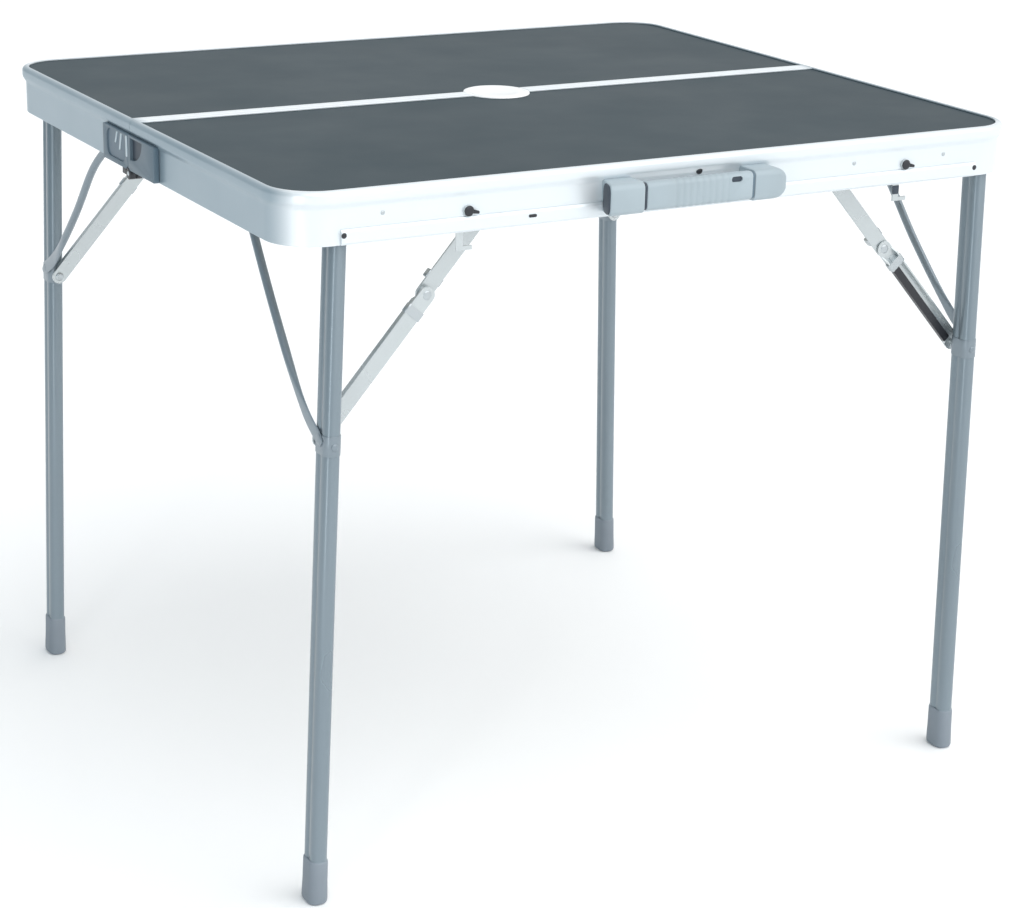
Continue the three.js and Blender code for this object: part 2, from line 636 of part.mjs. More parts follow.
// The pin that the latch of the other half catches; it stands through the web and the band
function latchStudGeometry(x) {
  const z = RAIL_BOTTOM + LATCH_STUD_ABOVE_EDGE;
  return rodY(LATCH_STUD_RADIUS, x, [-Y_OUT + 0.1, WEB_BACK_Y + 1.6], z, 12);
}

// ---------- assembly ----------

const materials = Object.fromEntries(
  Object.entries(MATERIALS).map(([name, look]) => [name, new THREE.MeshStandardMaterial(look)]));

function piece(name, geometry, material) {
  const mesh = new THREE.Mesh(geometry, materials[material]);
  mesh.name = name;
  return mesh;
}

// One leg with its axle, strut and foot, in a group that leans outwards
function legAssembly(leg, name) {
  const group = new THREE.Group();
  group.position.set(leg.x, LEG_Y, leg.pivotZ);
  group.rotation.y = -leg.side * LEG_SPLAY;
  group.add(piece(`leg_tube_${name}`, legTubeGeometry(leg), 'leg'));
  group.add(piece(`leg_foot_${name}`, footGeometry(leg), 'grey_plastic'));
  group.add(piece(`leg_strut_${name}`, strutGeometry(leg), 'leg'));
  group.add(piece(`leg_axle_${name}`, axleGeometry(), 'bright'));
  return group;
}

// The two links of a leg's folding brace, straight when the leg stands
function braceAssembly(leg, name) {
  const layout = braceLayout(leg);
  const turn = (from, to) => Math.atan2(from.y - to.y, to.x - from.x);
  const upper = piece(`brace_upper_${name}`, upperLinkGeometry(layout.upperLength), 'bright');
  upper.position.set(layout.onHalf.x, LEG_Y, layout.onHalf.y);
  upper.rotation.y = turn(layout.onHalf, layout.onLeg);
  const lower = piece(`brace_lower_${name}`, lowerLinkGeometry(layout.lowerLength), 'bright');
  lower.position.set(layout.onLeg.x, LEG_Y, layout.onLeg.y);
  lower.rotation.y = turn(layout.onLeg, layout.onHalf);
  return [upper, lower];
}

// Everything that both halves have, drawn as the front half; the rear half is the same, half a turn round
function halfAssembly(half, legNames, rimHoles) {
  const group = new THREE.Group();
  const legs = [
    { ...UPPER_LEG, side: -1, name: legNames[0] },
    { ...LOWER_LEG, side: 1, name: legNames[1] },
  ];
  group.add(piece(`${half}_panel`, panelGeometry(), 'laminate'));
  group.add(piece(`${half}_rim`, rimGeometry(rimHoles), 'rim'));
  group.add(piece(`${half}_centre_rail`, centreRailGeometry(), 'rim'));
  group.add(piece(`${half}_parasol_cover`, coverGeometry(), 'white_plastic'));
  for (const leg of legs) {
    group.add(piece(`leg_bracket_${leg.name}`, bearingGeometry(leg, LEG_LUG_NEAR), 'bright'));
    group.add(piece(`strut_bracket_${leg.name}`, bearingGeometry(leg, STRUT_LUG_NEAR), 'bright'));
    group.add(piece(`brace_anchor_${leg.name}`, braceAnchorGeometry(leg), 'bright'));
    group.add(legAssembly(leg, leg.name));
    group.add(...braceAssembly(leg, leg.name));
  }
  return group;
}

function webHole(x, z, radius) {
  return rodY(radius + GAP, x, [-Y_OUT - 10, -Y_OUT + 10], z, 12);
}

const front = halfAssembly('front', ['front_left', 'front_right'],
  LATCH_X.map((x) => webHole(x, LATCH_Z, RIVET_RADIUS)));
front.add(piece('front_band', bandGeometry(), 'rim'));
for (const [side, word] of [[-1, 'left'], [1, 'right']]) {
  front.add(piece(`hinge_cover_front_${word}`, hingeCoverGeometry(side, false), 'slate_plastic'));
  front.add(piece(`hinge_pin_${word}`, hingePinGeometry(side), 'dark_metal'));
  front.add(piece(`handle_mount_${word}`, handleMountGeometry(side), 'grey_plastic'));
}
front.add(piece('handle_grip', gripGeometry(), 'grey_plastic'));
front.add(piece('latch_left', latchGeometry(LATCH_X[0]), 'dark_metal'));
front.add(piece('latch_right', latchGeometry(LATCH_X[1]), 'dark_metal'));

// Half a turn about Z swaps left and right on the rear half
const studX = LATCH_X.map((x) => -(x + LATCH_REACH * Math.sin(LATCH_SWING)));
const studHoles = studX.map((x) => webHole(x, RAIL_BOTTOM + LATCH_STUD_ABOVE_EDGE, LATCH_STUD_RADIUS));
const rear = halfAssembly('rear', ['rear_right', 'rear_left'], studHoles);
rear.rotation.z = Math.PI;
rear.add(piece('rear_band', cut(bandGeometry(), ...studHoles), 'rim'));
rear.add(piece('hinge_cover_rear_right', hingeCoverGeometry(-1, true), 'slate_plastic'));
rear.add(piece('hinge_cover_rear_left', hingeCoverGeometry(1, true), 'slate_plastic'));
rear.add(piece('latch_stud_left', latchStudGeometry(studX[0]), 'dark_metal'));
rear.add(piece('latch_stud_right', latchStudGeometry(studX[1]), 'dark_metal'));

const table = new THREE.Group();
table.name = 'folding_table';
table.position.y = CENTRING_SHIFT;
table.add(front, rear);

export default table;
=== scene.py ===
"""Folding camping table: looks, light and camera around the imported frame.

Shapes are drawn in millimetres in local frames: a half of the top is drawn as the front half
(y < 0, the fold line at y = 0), a leg hangs down from its pivot at the origin, and a brace link
runs along +X from its pivot at the origin.
"""
import json
import math

import bmesh
import bpy
from mathutils import Matrix, Vector


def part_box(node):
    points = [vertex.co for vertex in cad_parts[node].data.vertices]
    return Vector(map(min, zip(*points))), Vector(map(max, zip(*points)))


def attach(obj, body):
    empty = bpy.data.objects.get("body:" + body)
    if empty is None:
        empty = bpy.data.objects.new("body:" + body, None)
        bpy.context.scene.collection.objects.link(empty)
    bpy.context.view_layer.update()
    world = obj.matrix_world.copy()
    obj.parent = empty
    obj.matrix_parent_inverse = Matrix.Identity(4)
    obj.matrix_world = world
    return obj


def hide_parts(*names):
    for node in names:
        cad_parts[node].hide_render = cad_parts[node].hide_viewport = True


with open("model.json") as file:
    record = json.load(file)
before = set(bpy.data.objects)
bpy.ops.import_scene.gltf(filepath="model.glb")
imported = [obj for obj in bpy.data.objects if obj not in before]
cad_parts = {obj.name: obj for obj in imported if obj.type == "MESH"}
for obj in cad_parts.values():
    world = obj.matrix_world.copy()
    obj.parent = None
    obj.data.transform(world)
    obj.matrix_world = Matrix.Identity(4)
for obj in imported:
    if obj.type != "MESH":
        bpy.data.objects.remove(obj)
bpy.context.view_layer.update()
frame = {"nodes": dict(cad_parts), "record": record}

MM = 0.001

# ---------- driving dimensions, in millimetres ----------

TOP_HEIGHT = 680
X_OUT = 400
Y_OUT = 350
CORNER_RADIUS = 48
RAIL_BOTTOM = 632
BEAD_BOTTOM = 667
WEB_OUTSIDE = 3.5
WEB_INSIDE = 5
LIP_WIDTH = 7
LIP_DEPTH = 1.4
LEDGE_Z = (672.8, 674)
LEDGE_WIDTH = 14
BEAD_RADIUS = 4.5
CENTRE_RAIL_WIDTH = 10.3
FOLD_GAP = 0.3
FOLD_AXIS_Z = 629
FLANGE_BOTTOM = 672

BAND_SCREW_X = 343
BAND_SCREW_Z = 641
BAND_SLOT_X = (-162, -154)
BAND_SLOT_Z = (639.4, 642.2)
RAIL_FACE = -346.4
RAIL_RIVETS_XZ = ((197, 657), (-305, 657), (305, 657))
RAIL_STOP_XZ = (19, 665.5)

COVER_RADIUS = 34
COVER_THICKNESS = 2
COVER_DEPTH = 12
COLLAR_RADIUS = 22
PANEL_TOP = 678.3

HINGE_COVER_HALF = 66
HINGE_COVER_Z = (632.4, 666.6)
HINGE_COVER_X = (396.8, 402.5)
KNUCKLE_RADIUS = 6
KNUCKLE_LENGTH = 6.5
KNUCKLE_ARM_HALF = 2.3
HINGE_SCREWS_YZ = ((-61, 636.5), (-61, 662))

HANDLE_X = 4
HANDLE_HALF = 98
MOUNT_LENGTH = 38
HANDLE_FRONT = -374
HANDLE_Z = (637.7, 666.7)
MOUNT_BACK = -346.8
BAND_FRONT = -350.1
BAND_TOP = 646.2
GRIP_BACK = -361
PIN_LINE = (-364, 660.7)
END_SLANT = 0.3
LEFT_END_RADIUS = 2
RIGHT_END_RADIUS = 14.2
GRIP_HALF = 57.6
GRIP_DEPTH = 27.4
GRIP_RIBS = 9
GRIP_RIBS_X = (-26, 30)
GRIP_SLOT_X = (33, 45)
GRIP_SLOT_DROP = (8.5, 3.4)

LEVER_OUTLINE = ((1, -2.2), (9.5, -3.2), (10.2, -1.8), (9.5, -0.6), (1, 2.2))
SLEEVE_X = (-10.4, -2.8)
SLEEVE_Y = (-345.0, -343.0)
SLEEVE_Z = (621.5, 630.5)

TUBE = (16, 26)
TUBE_CORNER = 7
TUBE_ABOVE_FLOOR = 5.3
GROOVE = ((-2.2, 0), (-1.2, 0.7), (1.2, 0.7), (2.2, 0))
LEG_TOP = 5.5
LEG_SPLAY = math.radians(1.8)
FOOT = (20, 28.6)
FOOT_HEIGHT = 44
JOINT_Z = 455
BRACE_BELOW_STRUT = 6
STRUT_RADIUS = 4
STRUT_REACH = 190
STRUT_FLAT_HALF = (7, 0.9)
SADDLE_MARGIN = 1.4
LEG_RIVET_HEIGHT = 0.4
EYE_RADIUS = 8
EYE_LENGTH = 9
AXLE_RADIUS = 4
AXLE_END = 203

LINK_WIDTH = 16
LINK_THICKNESS = 6.2
LINK_SHEET = 1.6
WALL_INSET = 0.15
LOWER_LINK_NEAR = 14.7
UPPER_LINK_NEAR = 21.4
RIVET_RADIUS = 2.8
RIB_START = 11.2
RIB_HALF = 1.6
LOCK_FROM_END = (21, 13)
COLLAR_FROM_END = (24, 15)
# Where the dark sheet of painted shade inside an open lower link stops, from its two ends
PAINTED_SHADE_FROM_ENDS = (11, 24.5)
OPEN_SIDE_OUT = ("front_right", "rear_left")

FLOOR_REACH = 14000
FLOOR_TILES = 4
FLOOR_DROP = 0.3

CAMERA_PLACE = (-1.2220, -2.1473, 1.1397)
CAMERA_YAW_PITCH_ROLL = (29.952, 18.988, -1.463)
CAMERA_LENS = 86.379
SENSOR_WIDTH = 36

RECORD = frame["record"]
JOINTS = {joint["name"]: joint for joint in RECORD["behaviour"]["joints"]}
HALVES = ("front", "rear")
# Each leg: its half, and its side in that half's own frame
LEGS = {
    "front_left": ("front", -1),
    "front_right": ("front", 1),
    "rear_right": ("rear", -1),
    "rear_left": ("rear", 1),
}


def joint_place(name):
    """A joint's point in the frame, in metres."""
    return Vector(JOINTS[name]["pos_m"])


FOLD_Y = joint_place("case_fold").y
HALF_PLACE = {
    "front": Matrix.Translation((0, FOLD_Y, 0)),
    "rear": Matrix.Translation((0, FOLD_Y, 0)) @ Matrix.Rotation(math.pi, 4, "Z"),
}


# ---------- materials ----------

class Nodes:
    """Builds a material's node tree; every texture is laid out in the piece's own coordinates."""

    def __init__(self, name):
        self.material = bpy.data.materials.new(name)
        self.material.use_nodes = True
        self.tree = self.material.node_tree
        self.tree.nodes.clear()
        self.output = self.tree.nodes.new("ShaderNodeOutputMaterial")
        self.shader = self.tree.nodes.new("ShaderNodeBsdfPrincipled")
        self.link(self.shader.outputs[0], self.output.inputs["Surface"])
        self.place = self.tree.nodes.new("ShaderNodeTexCoord")

    def link(self, source, target):
        self.tree.links.new(source, target)

    def noise(self, scale, detail, stretch=(1, 1, 1), roughness=0.5):
        """Noise between about 0.3 and 0.7; scale is in waves per metre."""
        mapping = self.tree.nodes.new("ShaderNodeMapping")
        mapping.inputs["Scale"].default_value = stretch
        self.link(self.place.outputs["Object"], mapping.inputs["Vector"])
        texture = self.tree.nodes.new("ShaderNodeTexNoise")
        texture.inputs["Scale"].default_value = scale
        texture.inputs["Detail"].default_value = detail
        texture.inputs["Roughness"].default_value = roughness
        self.link(mapping.outputs[0], texture.inputs["Vector"])
        return texture.outputs[0]

    def cells(self, scale):
        """Distance to the nearest of many scattered points."""
        texture = self.tree.nodes.new("ShaderNodeTexVoronoi")
        texture.inputs["Scale"].default_value = scale
        self.link(self.place.outputs["Object"], texture.inputs["Vector"])
        return texture.outputs[0]

    def spread(self, value, low, high, from_low=0.3, from_high=0.7):
        """Stretches a value from one range to another, and holds it there."""
        ramp = self.tree.nodes.new("ShaderNodeMapRange")
        ramp.inputs["From Min"].default_value = from_low
        ramp.inputs["From Max"].default_value = from_high
        ramp.inputs["To Min"].default_value = low
        ramp.inputs["To Max"].default_value = high
        self.link(value, ramp.inputs["Value"])
        return ramp.outputs[0]

    def blend(self, factor, first, second):
        """Mixes two colours, each a tuple or another node's output."""
        mix = self.tree.nodes.new("ShaderNodeMix")
        mix.data_type = "RGBA"
        self.link(factor, mix.inputs["Factor"])
        for value, socket in ((first, mix.inputs[6]), (second, mix.inputs[7])):
            if isinstance(value, tuple):
                socket.default_value = (*value, 1)
            else:
                self.link(value, socket)
        return mix.outputs[2]

    def pointiness(self):
        return self.tree.nodes.new("ShaderNodeNewGeometry").outputs["Pointiness"]

    def painted_shade_on_ends(self):
        """Mask for the rim's painted shade: 1 on the end rails, 0 on the long rails, changing over round
        the corners.
        """
        parts = self.tree.nodes.new("ShaderNodeSeparateXYZ")
        self.link(self.place.outputs["Object"], parts.inputs[0])
        size = self.tree.nodes.new("ShaderNodeMath")
        size.operation = "ABSOLUTE"
        self.link(parts.outputs["X"], size.inputs[0])
        return self.spread(size.outputs[0], 0, 1, (X_OUT - 16) * MM, (X_OUT - 3) * MM)

    def facing_down(self):
        """1 where the piece's own surface looks down, 0 elsewhere."""
        parts = self.tree.nodes.new("ShaderNodeSeparateXYZ")
        self.link(self.place.outputs["Normal"], parts.inputs[0])
        return self.spread(parts.outputs["Z"], 1, 0, -0.6, -0.4)

    def bump(self, height, distance, strength, under=None):
        """Surface relief, distance in millimetres, on top of an earlier bump."""
        node = self.tree.nodes.new("ShaderNodeBump")
        node.inputs["Distance"].default_value = distance * MM
        node.inputs["Strength"].default_value = strength
        self.link(height, node.inputs["Height"])
        if under:
            self.link(under, node.inputs["Normal"])
        return node.outputs[0]

    def set(self, **values):
        """Fills the shader's sockets with numbers, colours or node outputs."""
        for name, value in values.items():
            socket = self.shader.inputs[name.replace("_", " ")]
            if isinstance(value, (int, float)):
                socket.default_value = value
            elif isinstance(value, tuple):
                socket.default_value = (*value, 1)
            else:
                self.link(value, socket)
        return self


def scaled(colour, factor):
    """A darker or lighter shade of a colour."""
    return tuple(min(1, channel * factor) for channel in colour)


def metal(name, colour, roughness, along, metallic, draw_lines):
    """Drawn or pressed metal: fine lines along one axis, cloudy handling marks and fine specks."""
    nodes = Nodes(name)
    stretch = tuple(0.02 if axis == along else 1 for axis in "XYZ")
    lines = nodes.noise(1500, 3, stretch)
    clouds = nodes.noise(9, 5)
    specks = nodes.noise(700, 2)
    shade = nodes.blend(nodes.spread(clouds, 0, 1), scaled(colour, 0.94), scaled(colour, 1.04))
    paint = nodes.blend(nodes.spread(specks, 0, 0.3, 0.55, 0.75), shade, scaled(colour, 0.85))
    height = nodes.bump(specks, 0.006, 0.3, nodes.bump(lines, draw_lines, 0.5))
    nodes.set(Base_Color=paint, Metallic=metallic, Normal=height)
    nodes.set(Roughness=nodes.spread(clouds, roughness - 0.06, roughness + 0.06))
    return nodes.material


def satin_rim_with_painted_shade(name, lit_long_rail_tone, shaded_end_rail_tone):
    """Anodised extrusion with fine drawn lines; the end rails get a cooler, darker grey as painted shade,
    and the long rails a lighter tone as painted light.
    """
    nodes = Nodes(name)
    lines = nodes.noise(1200, 3, (0.02, 0.02, 1))
    clouds = nodes.noise(8, 5)
    # Painted light and shade: the lighter long rails and darker end rails are lit and shaded copies of one
    # anodised colour.
    tone = nodes.blend(nodes.painted_shade_on_ends(), lit_long_rail_tone, shaded_end_rail_tone)
    cloudy = nodes.blend(nodes.spread(clouds, 0, 0.12), tone, (0.9, 0.93, 0.95))
    nodes.set(Base_Color=cloudy, Metallic=0.35)
    nodes.set(Normal=nodes.bump(lines, 0.01, 0.5), Roughness=nodes.spread(clouds, 0.29, 0.38))
    return nodes.material


def moulded(name, colour, roughness, grain=0.03, grain_scale=1400):
    """Moulded plastic: fine spark-eroded grain, slight colour drift, edges polished by handling."""
    nodes = Nodes(name)
    grains = nodes.noise(grain_scale, 3, roughness=0.6)
    clouds = nodes.noise(14, 4)
    edges = nodes.spread(nodes.pointiness(), 0, 1, 0.52, 0.6)
    shade = nodes.blend(nodes.spread(clouds, 0, 1), scaled(colour, 0.94), scaled(colour, 1.06))
    nodes.set(Base_Color=nodes.blend(edges, shade, scaled(colour, 1.25)))
    nodes.set(Normal=nodes.bump(grains, grain, 0.7))
    nodes.set(Roughness=nodes.spread(clouds, roughness - 0.05, roughness + 0.06))
    return nodes.material


def painted(name, colour, roughness):
    """Powder-coated tube: faint orange peel and tiny metallic flecks under a thin clear coat."""
    nodes = Nodes(name)
    peel = nodes.noise(420, 2)
    fine = nodes.noise(2600, 2)
    clouds = nodes.noise(7, 5, (1, 1, 0.4))
    shade = nodes.blend(nodes.spread(clouds, 0, 1), scaled(colour, 0.95), scaled(colour, 1.04))
    flecked = nodes.blend(nodes.spread(fine, 0, 0.25, 0.55, 0.75), shade, scaled(colour, 1.6))
    nodes.set(Base_Color=flecked, Metallic=0.4, Coat_Weight=0.25)
    nodes.set(Normal=nodes.bump(fine, 0.01, 0.3, nodes.bump(peel, 0.03, 0.5)))
    nodes.set(Roughness=nodes.spread(clouds, roughness - 0.05, roughness + 0.05))
    return nodes.material


def laminate():
    """The panels: satin slate laminate above with a fine pebble, pale backing board below."""
    nodes = Nodes("laminate")
    pebble = nodes.cells(900)
    flecks = nodes.noise(1800, 2)
    clouds = nodes.noise(5, 6)
    rubbed = nodes.noise(11, 5)
    slate = (0.017, 0.039, 0.051)
    shade = nodes.blend(nodes.spread(clouds, 0, 1), scaled(slate, 0.96), scaled(slate, 1.04))
    flecked = nodes.blend(nodes.spread(flecks, 0, 0.35, 0.5, 0.8), shade, scaled(slate, 1.5))
    backing = nodes.blend(nodes.spread(rubbed, 0, 1), (0.52, 0.50, 0.46), (0.60, 0.58, 0.54))
    nodes.set(Base_Color=nodes.blend(nodes.facing_down(), flecked, backing))
    nodes.set(Normal=nodes.bump(flecks, 0.008, 0.4, nodes.bump(pebble, 0.02, 0.5)))
    nodes.set(Roughness=nodes.spread(rubbed, 0.50, 0.56), Specular_IOR_Level=0.24)
    return nodes.material


# Each look: its material, and the CAD material slot that it refines
LOOKS = {
    "laminate": (laminate(), "laminate"),
    # The rim's two tones are painted light and shade: a lit grey for the long rails, a shaded blue-grey for
    # the end rails.
    "rim": (satin_rim_with_painted_shade("satin_rim_with_painted_shade", (0.74, 0.79, 0.82), (0.26, 0.34, 0.39)), "rim"),
    "leg": (painted("leg_paint", (0.205, 0.255, 0.29), 0.30), "leg"),
    "strut": (painted("strut_paint", (0.22, 0.265, 0.30), 0.32), "leg"),
    "bright": (metal("bright_pressed_sheet", (0.56, 0.60, 0.61), 0.30, "X", 0.7, 0.02), "bright"),
    "bright_upright": (metal("bright_rod", (0.50, 0.54, 0.56), 0.28, "Y", 0.8, 0.015), "bright"),
    "grey_plastic": (moulded("grey_plastic", (0.335, 0.40, 0.435), 0.42), "grey_plastic"),
    "foot_plastic": (moulded("foot_plastic", (0.20, 0.235, 0.27), 0.48, 0.05, 900), "grey_plastic"),
    "slate_plastic": (moulded("slate_plastic", (0.095, 0.14, 0.175), 0.40), "slate_plastic"),
    "pale_plastic": (moulded("pale_plastic", (0.46, 0.54, 0.58), 0.35, 0.02), "slate_plastic"),
    "deep_slate": (moulded("deep_slate_plastic", (0.075, 0.115, 0.15), 0.38), "slate_plastic"),
    "dark_plastic": (moulded("dark_plastic", (0.03, 0.042, 0.058), 0.45), "slate_plastic"),
    "white_plastic": (moulded("white_plastic", (0.88, 0.89, 0.89), 0.35, 0.015), "white_plastic"),
    "dark_metal": (metal("dark_metal", (0.05, 0.052, 0.058), 0.38, "Z", 0.7, 0.01), "dark_metal"),
}


# ---------- mesh tools ----------

def loft(shape, rings, closed=False):
    """Skins a row of rings with equal numbers of points; caps it, or closes it into a loop."""
    rows = [[shape.verts.new(point) for point in ring] for ring in rings]
    pairs = list(zip(rows, rows[1:]))
    if closed:
        pairs.append((rows[-1], rows[0]))
    for near, far in pairs:
        for i in range(len(near)):
            k = (i + 1) % len(near)
            shape.faces.new((near[i], near[k], far[k], far[i]))
    if not closed:
        shape.faces.new(reversed(rows[0]))
        shape.faces.new(rows[-1])
    return shape


def rounded(a, b, radius, steps=6):
    """Points of a rectangle with round corners, between a[0], a[1] and b[0], b[1]."""
    centres = (
        (a[1] - radius, b[1] - radius, 0),
        (a[0] + radius, b[1] - radius, 90),
        (a[0] + radius, b[0] + radius, 180),
        (a[1] - radius, b[0] + radius, 270),
    )
    points = []
    for u, v, start in centres:
        for i in range(steps + 1):
            angle = math.radians(start + 90 * i / steps)
            points.append((u + radius * math.cos(angle), v + radius * math.sin(angle)))
    return points


def centred(size, radius, steps, inset):
    """A rounded rectangle about the origin, drawn in by inset."""
    half_u, half_v = size[0] / 2 - inset, size[1] / 2 - inset
    return rounded((-half_u, half_u), (-half_v, half_v), max(radius - inset, 0.3), steps)


def rod(shape, axis, radius, ends, centre=(0, 0), segments=32, chamfer=0.0):
    """A round rod along an axis; centre gives the other two coordinates in order."""
    stations = [(ends[0], radius - chamfer), (ends[0] + chamfer, radius)]
    stations += [(ends[1] - chamfer, radius), (ends[1], radius - chamfer)]
    if not chamfer:
        stations = [(ends[0], radius), (ends[1], radius)]
    return turned(shape, axis, stations, centre, segments)


def turned(shape, axis, stations, centre=(0, 0), segments=32):
    """A solid turned about an axis; stations are (position along it, radius)."""
    rings = []
    for along, radius in stations:
        ring = []
        for i in range(segments):
            angle = 2 * math.pi * i / segments
            across = [centre[0] + radius * math.cos(angle), centre[1] + radius * math.sin(angle)]
            across.insert("XYZ".index(axis), along)
            ring.append(across)
        rings.append(ring)
    return loft(shape, rings)


def tube_ring(shape, axis, radii, ends, centre=(0, 0), segments=32, chamfer=0.6):
    """A ring about an axis, between two radii, with a chamfer on its outer edges."""
    inner, outer = radii
    section = ((ends[0], inner), (ends[0], outer - chamfer), (ends[0] + chamfer, outer),
               (ends[1] - chamfer, outer), (ends[1], outer - chamfer), (ends[1], inner))
    rings = []
    for i in range(segments):
        angle = 2 * math.pi * i / segments
        ring = []
        for along, radius in section:
            point = [centre[0] + radius * math.cos(angle), centre[1] + radius * math.sin(angle)]
            point.insert("XYZ".index(axis), along)
            ring.append(point)
        rings.append(ring)
    return loft(shape, rings, closed=True)


def dome(shape, axis, radius, base, height, centre=(0, 0), segments=24):
    """A rivet head standing on base, rising by height along the axis."""
    profile = ((1.0, 0.0), (1.0, 0.18), (0.93, 0.5), (0.75, 0.78), (0.45, 0.94), (0.12, 1.0))
    stations = [(base + height * rise, radius * share) for share, rise in profile]
    return turned(shape, axis, stations, centre, segments)


def slab(shape, x, y, z):
    """A block between two x, two y and two z."""
    corners = [(x[0], y[0]), (x[1], y[0]), (x[1], y[1]), (x[0], y[1])]
    return loft(shape, [[(u, v, level) for u, v in corners] for level in z])


def plate_x(shape, outline, x):
    """An outline of (y, z) points as a plate between two x."""
    return loft(shape, [[(level, u, v) for u, v in outline] for level in x])


def plate_y(shape, outline, y):
    """An outline of (x, z) points as a plate between two y."""
    return loft(shape, [[(u, level, v) for u, v in outline] for level in y])


def side_span(side, near, far):
    """The span from near to far on one side of x = 0, lower end first."""
    return (near, far) if side > 0 else (-far, -near)


def shade(mesh, sharp_angle):
    """Smooths the mesh except along edges sharper than the angle."""
    shape = bmesh.new()
    shape.from_mesh(mesh)
    for edge in shape.edges:
        edge.smooth = len(edge.link_faces) == 2 and edge.calc_face_angle(0) < math.radians(sharp_angle)
    for face in shape.faces:
        face.smooth = True
    shape.to_mesh(mesh)
    shape.free()


def plain_object(name, shape, place):
    """Turns a bmesh in millimetres into an object at a place in the frame."""
    bmesh.ops.remove_doubles(shape, verts=shape.verts, dist=1e-4)
    bmesh.ops.recalc_face_normals(shape, faces=shape.faces)
    shape.transform(Matrix.Scale(MM, 4))
    mesh = bpy.data.meshes.new(name)
    shape.to_mesh(mesh)
    shape.free()
    made = bpy.data.objects.new(name, mesh)
    bpy.context.scene.collection.objects.link(made)
    made.matrix_world = place
    return made


def piece(name, look, body, place, shape, stands_for=(), cuts=(), bevel=0.0, sharp_angle=38):
    """Makes a finished piece from a bmesh in millimetres and fixes it to its body."""
    made = plain_object(name, shape, place)
    tools = [plain_object(name + "_cut", cut, place) for cut in cuts]
    for tool in tools:
        boolean = made.modifiers.new("cut", "BOOLEAN")
        boolean.operation = "DIFFERENCE"
        boolean.solver = "EXACT"
        boolean.object = tool
    if bevel:
        rounding = made.modifiers.new("edges", "BEVEL")
        rounding.width = bevel * MM
        rounding.segments = 2
        rounding.limit_method = "ANGLE"
        rounding.angle_limit = math.radians(40)
    bpy.context.view_layer.update()
    finished = bpy.data.meshes.new_from_object(made.evaluated_get(bpy.context.evaluated_depsgraph_get()))
    made.modifiers.clear()
    made.data = finished
    for tool in tools:
        bpy.data.objects.remove(tool)
    shade(made.data, sharp_angle)
    material, slot = LOOKS[look]
    made.data.materials.clear()
    made.data.materials.append(material)
    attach(made, body)
    if stands_for:
        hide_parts(*stands_for)
    return made


def dress(node, look):
    """Gives a CAD node its finished material."""
    target = frame["nodes"][node]
    target.data.materials.clear()
    target.data.materials.append(LOOKS[look][0])


# ---------- rim, parasol cover and hinge covers of a half ----------

def rim_profile():
    """The rim's section as (distance in from the outer face, z), with a rolled bead."""
    steps = 8
    bead = []
    under = []
    for i in range(steps + 1):
        angle = math.radians(90 * i / steps)
        bead.append((BEAD_RADIUS * (1 - math.sin(angle)), TOP_HEIGHT - BEAD_RADIUS * (1 - math.cos(angle))))
        fall = 8 * i / steps
        under.append((WEB_OUTSIDE * (1 - math.cos(math.pi * i / steps)) / 2, BEAD_BOTTOM + 4 - fall))
    return [
        (LIP_WIDTH, TOP_HEIGHT - LIP_DEPTH),
        (LIP_WIDTH, TOP_HEIGHT - 0.35),
        (LIP_WIDTH - 0.4, TOP_HEIGHT),
        *bead,
        *under,
        (WEB_OUTSIDE, RAIL_BOTTOM + 0.5),
        (WEB_OUTSIDE + 0.4, RAIL_BOTTOM),
        (WEB_INSIDE, RAIL_BOTTOM),
        (WEB_INSIDE, LEDGE_Z[0]),
        (LEDGE_WIDTH, LEDGE_Z[0]),
        (LEDGE_WIDTH, LEDGE_Z[1]),
        (WEB_INSIDE, LEDGE_Z[1]),
        (WEB_INSIDE, TOP_HEIGHT - LIP_DEPTH),
    ]


def rim_path():
    """Stations along the rim: the outermost point and the outward direction."""
    stations = [((-X_OUT, -FOLD_GAP), (-1, 0))]
    for side, start in ((-1, 180), (1, 270)):
        centre = (side * (X_OUT - CORNER_RADIUS), -Y_OUT + CORNER_RADIUS)
        for i in range(25):
            angle = math.radians(start + 90 * i / 24)
            out = (math.cos(angle), math.sin(angle))
            stations.append(((centre[0] + CORNER_RADIUS * out[0], centre[1] + CORNER_RADIUS * out[1]), out))
    stations.append(((X_OUT, -FOLD_GAP), (1, 0)))
    return stations


def make_rim(half):
    """The bent rim, cut away for the centre rail and round the hinge knuckles."""
    profile = rim_profile()
    shape = bmesh.new()
    rings = []
    for (x, y), (out_x, out_y) in rim_path():
        rings.append([(x - inset * out_x, y - inset * out_y, z) for inset, z in profile])
    loft(shape, rings)
    inside = X_OUT - WEB_INSIDE
    room = slab(bmesh.new(), (-inside, inside), (-CENTRE_RAIL_WIDTH, 1), (LEDGE_Z[0] - 1, TOP_HEIGHT + 1))
    knuckles = rod(bmesh.new(), "X", KNUCKLE_RADIUS + 0.8, (-X_OUT - 1, X_OUT + 1), (0, FOLD_AXIS_Z), 48)
    piece(half + "_rim_skin", "rim", half + "_half", HALF_PLACE[half], shape,
          [half + "_rim"], [room, knuckles], sharp_angle=30)


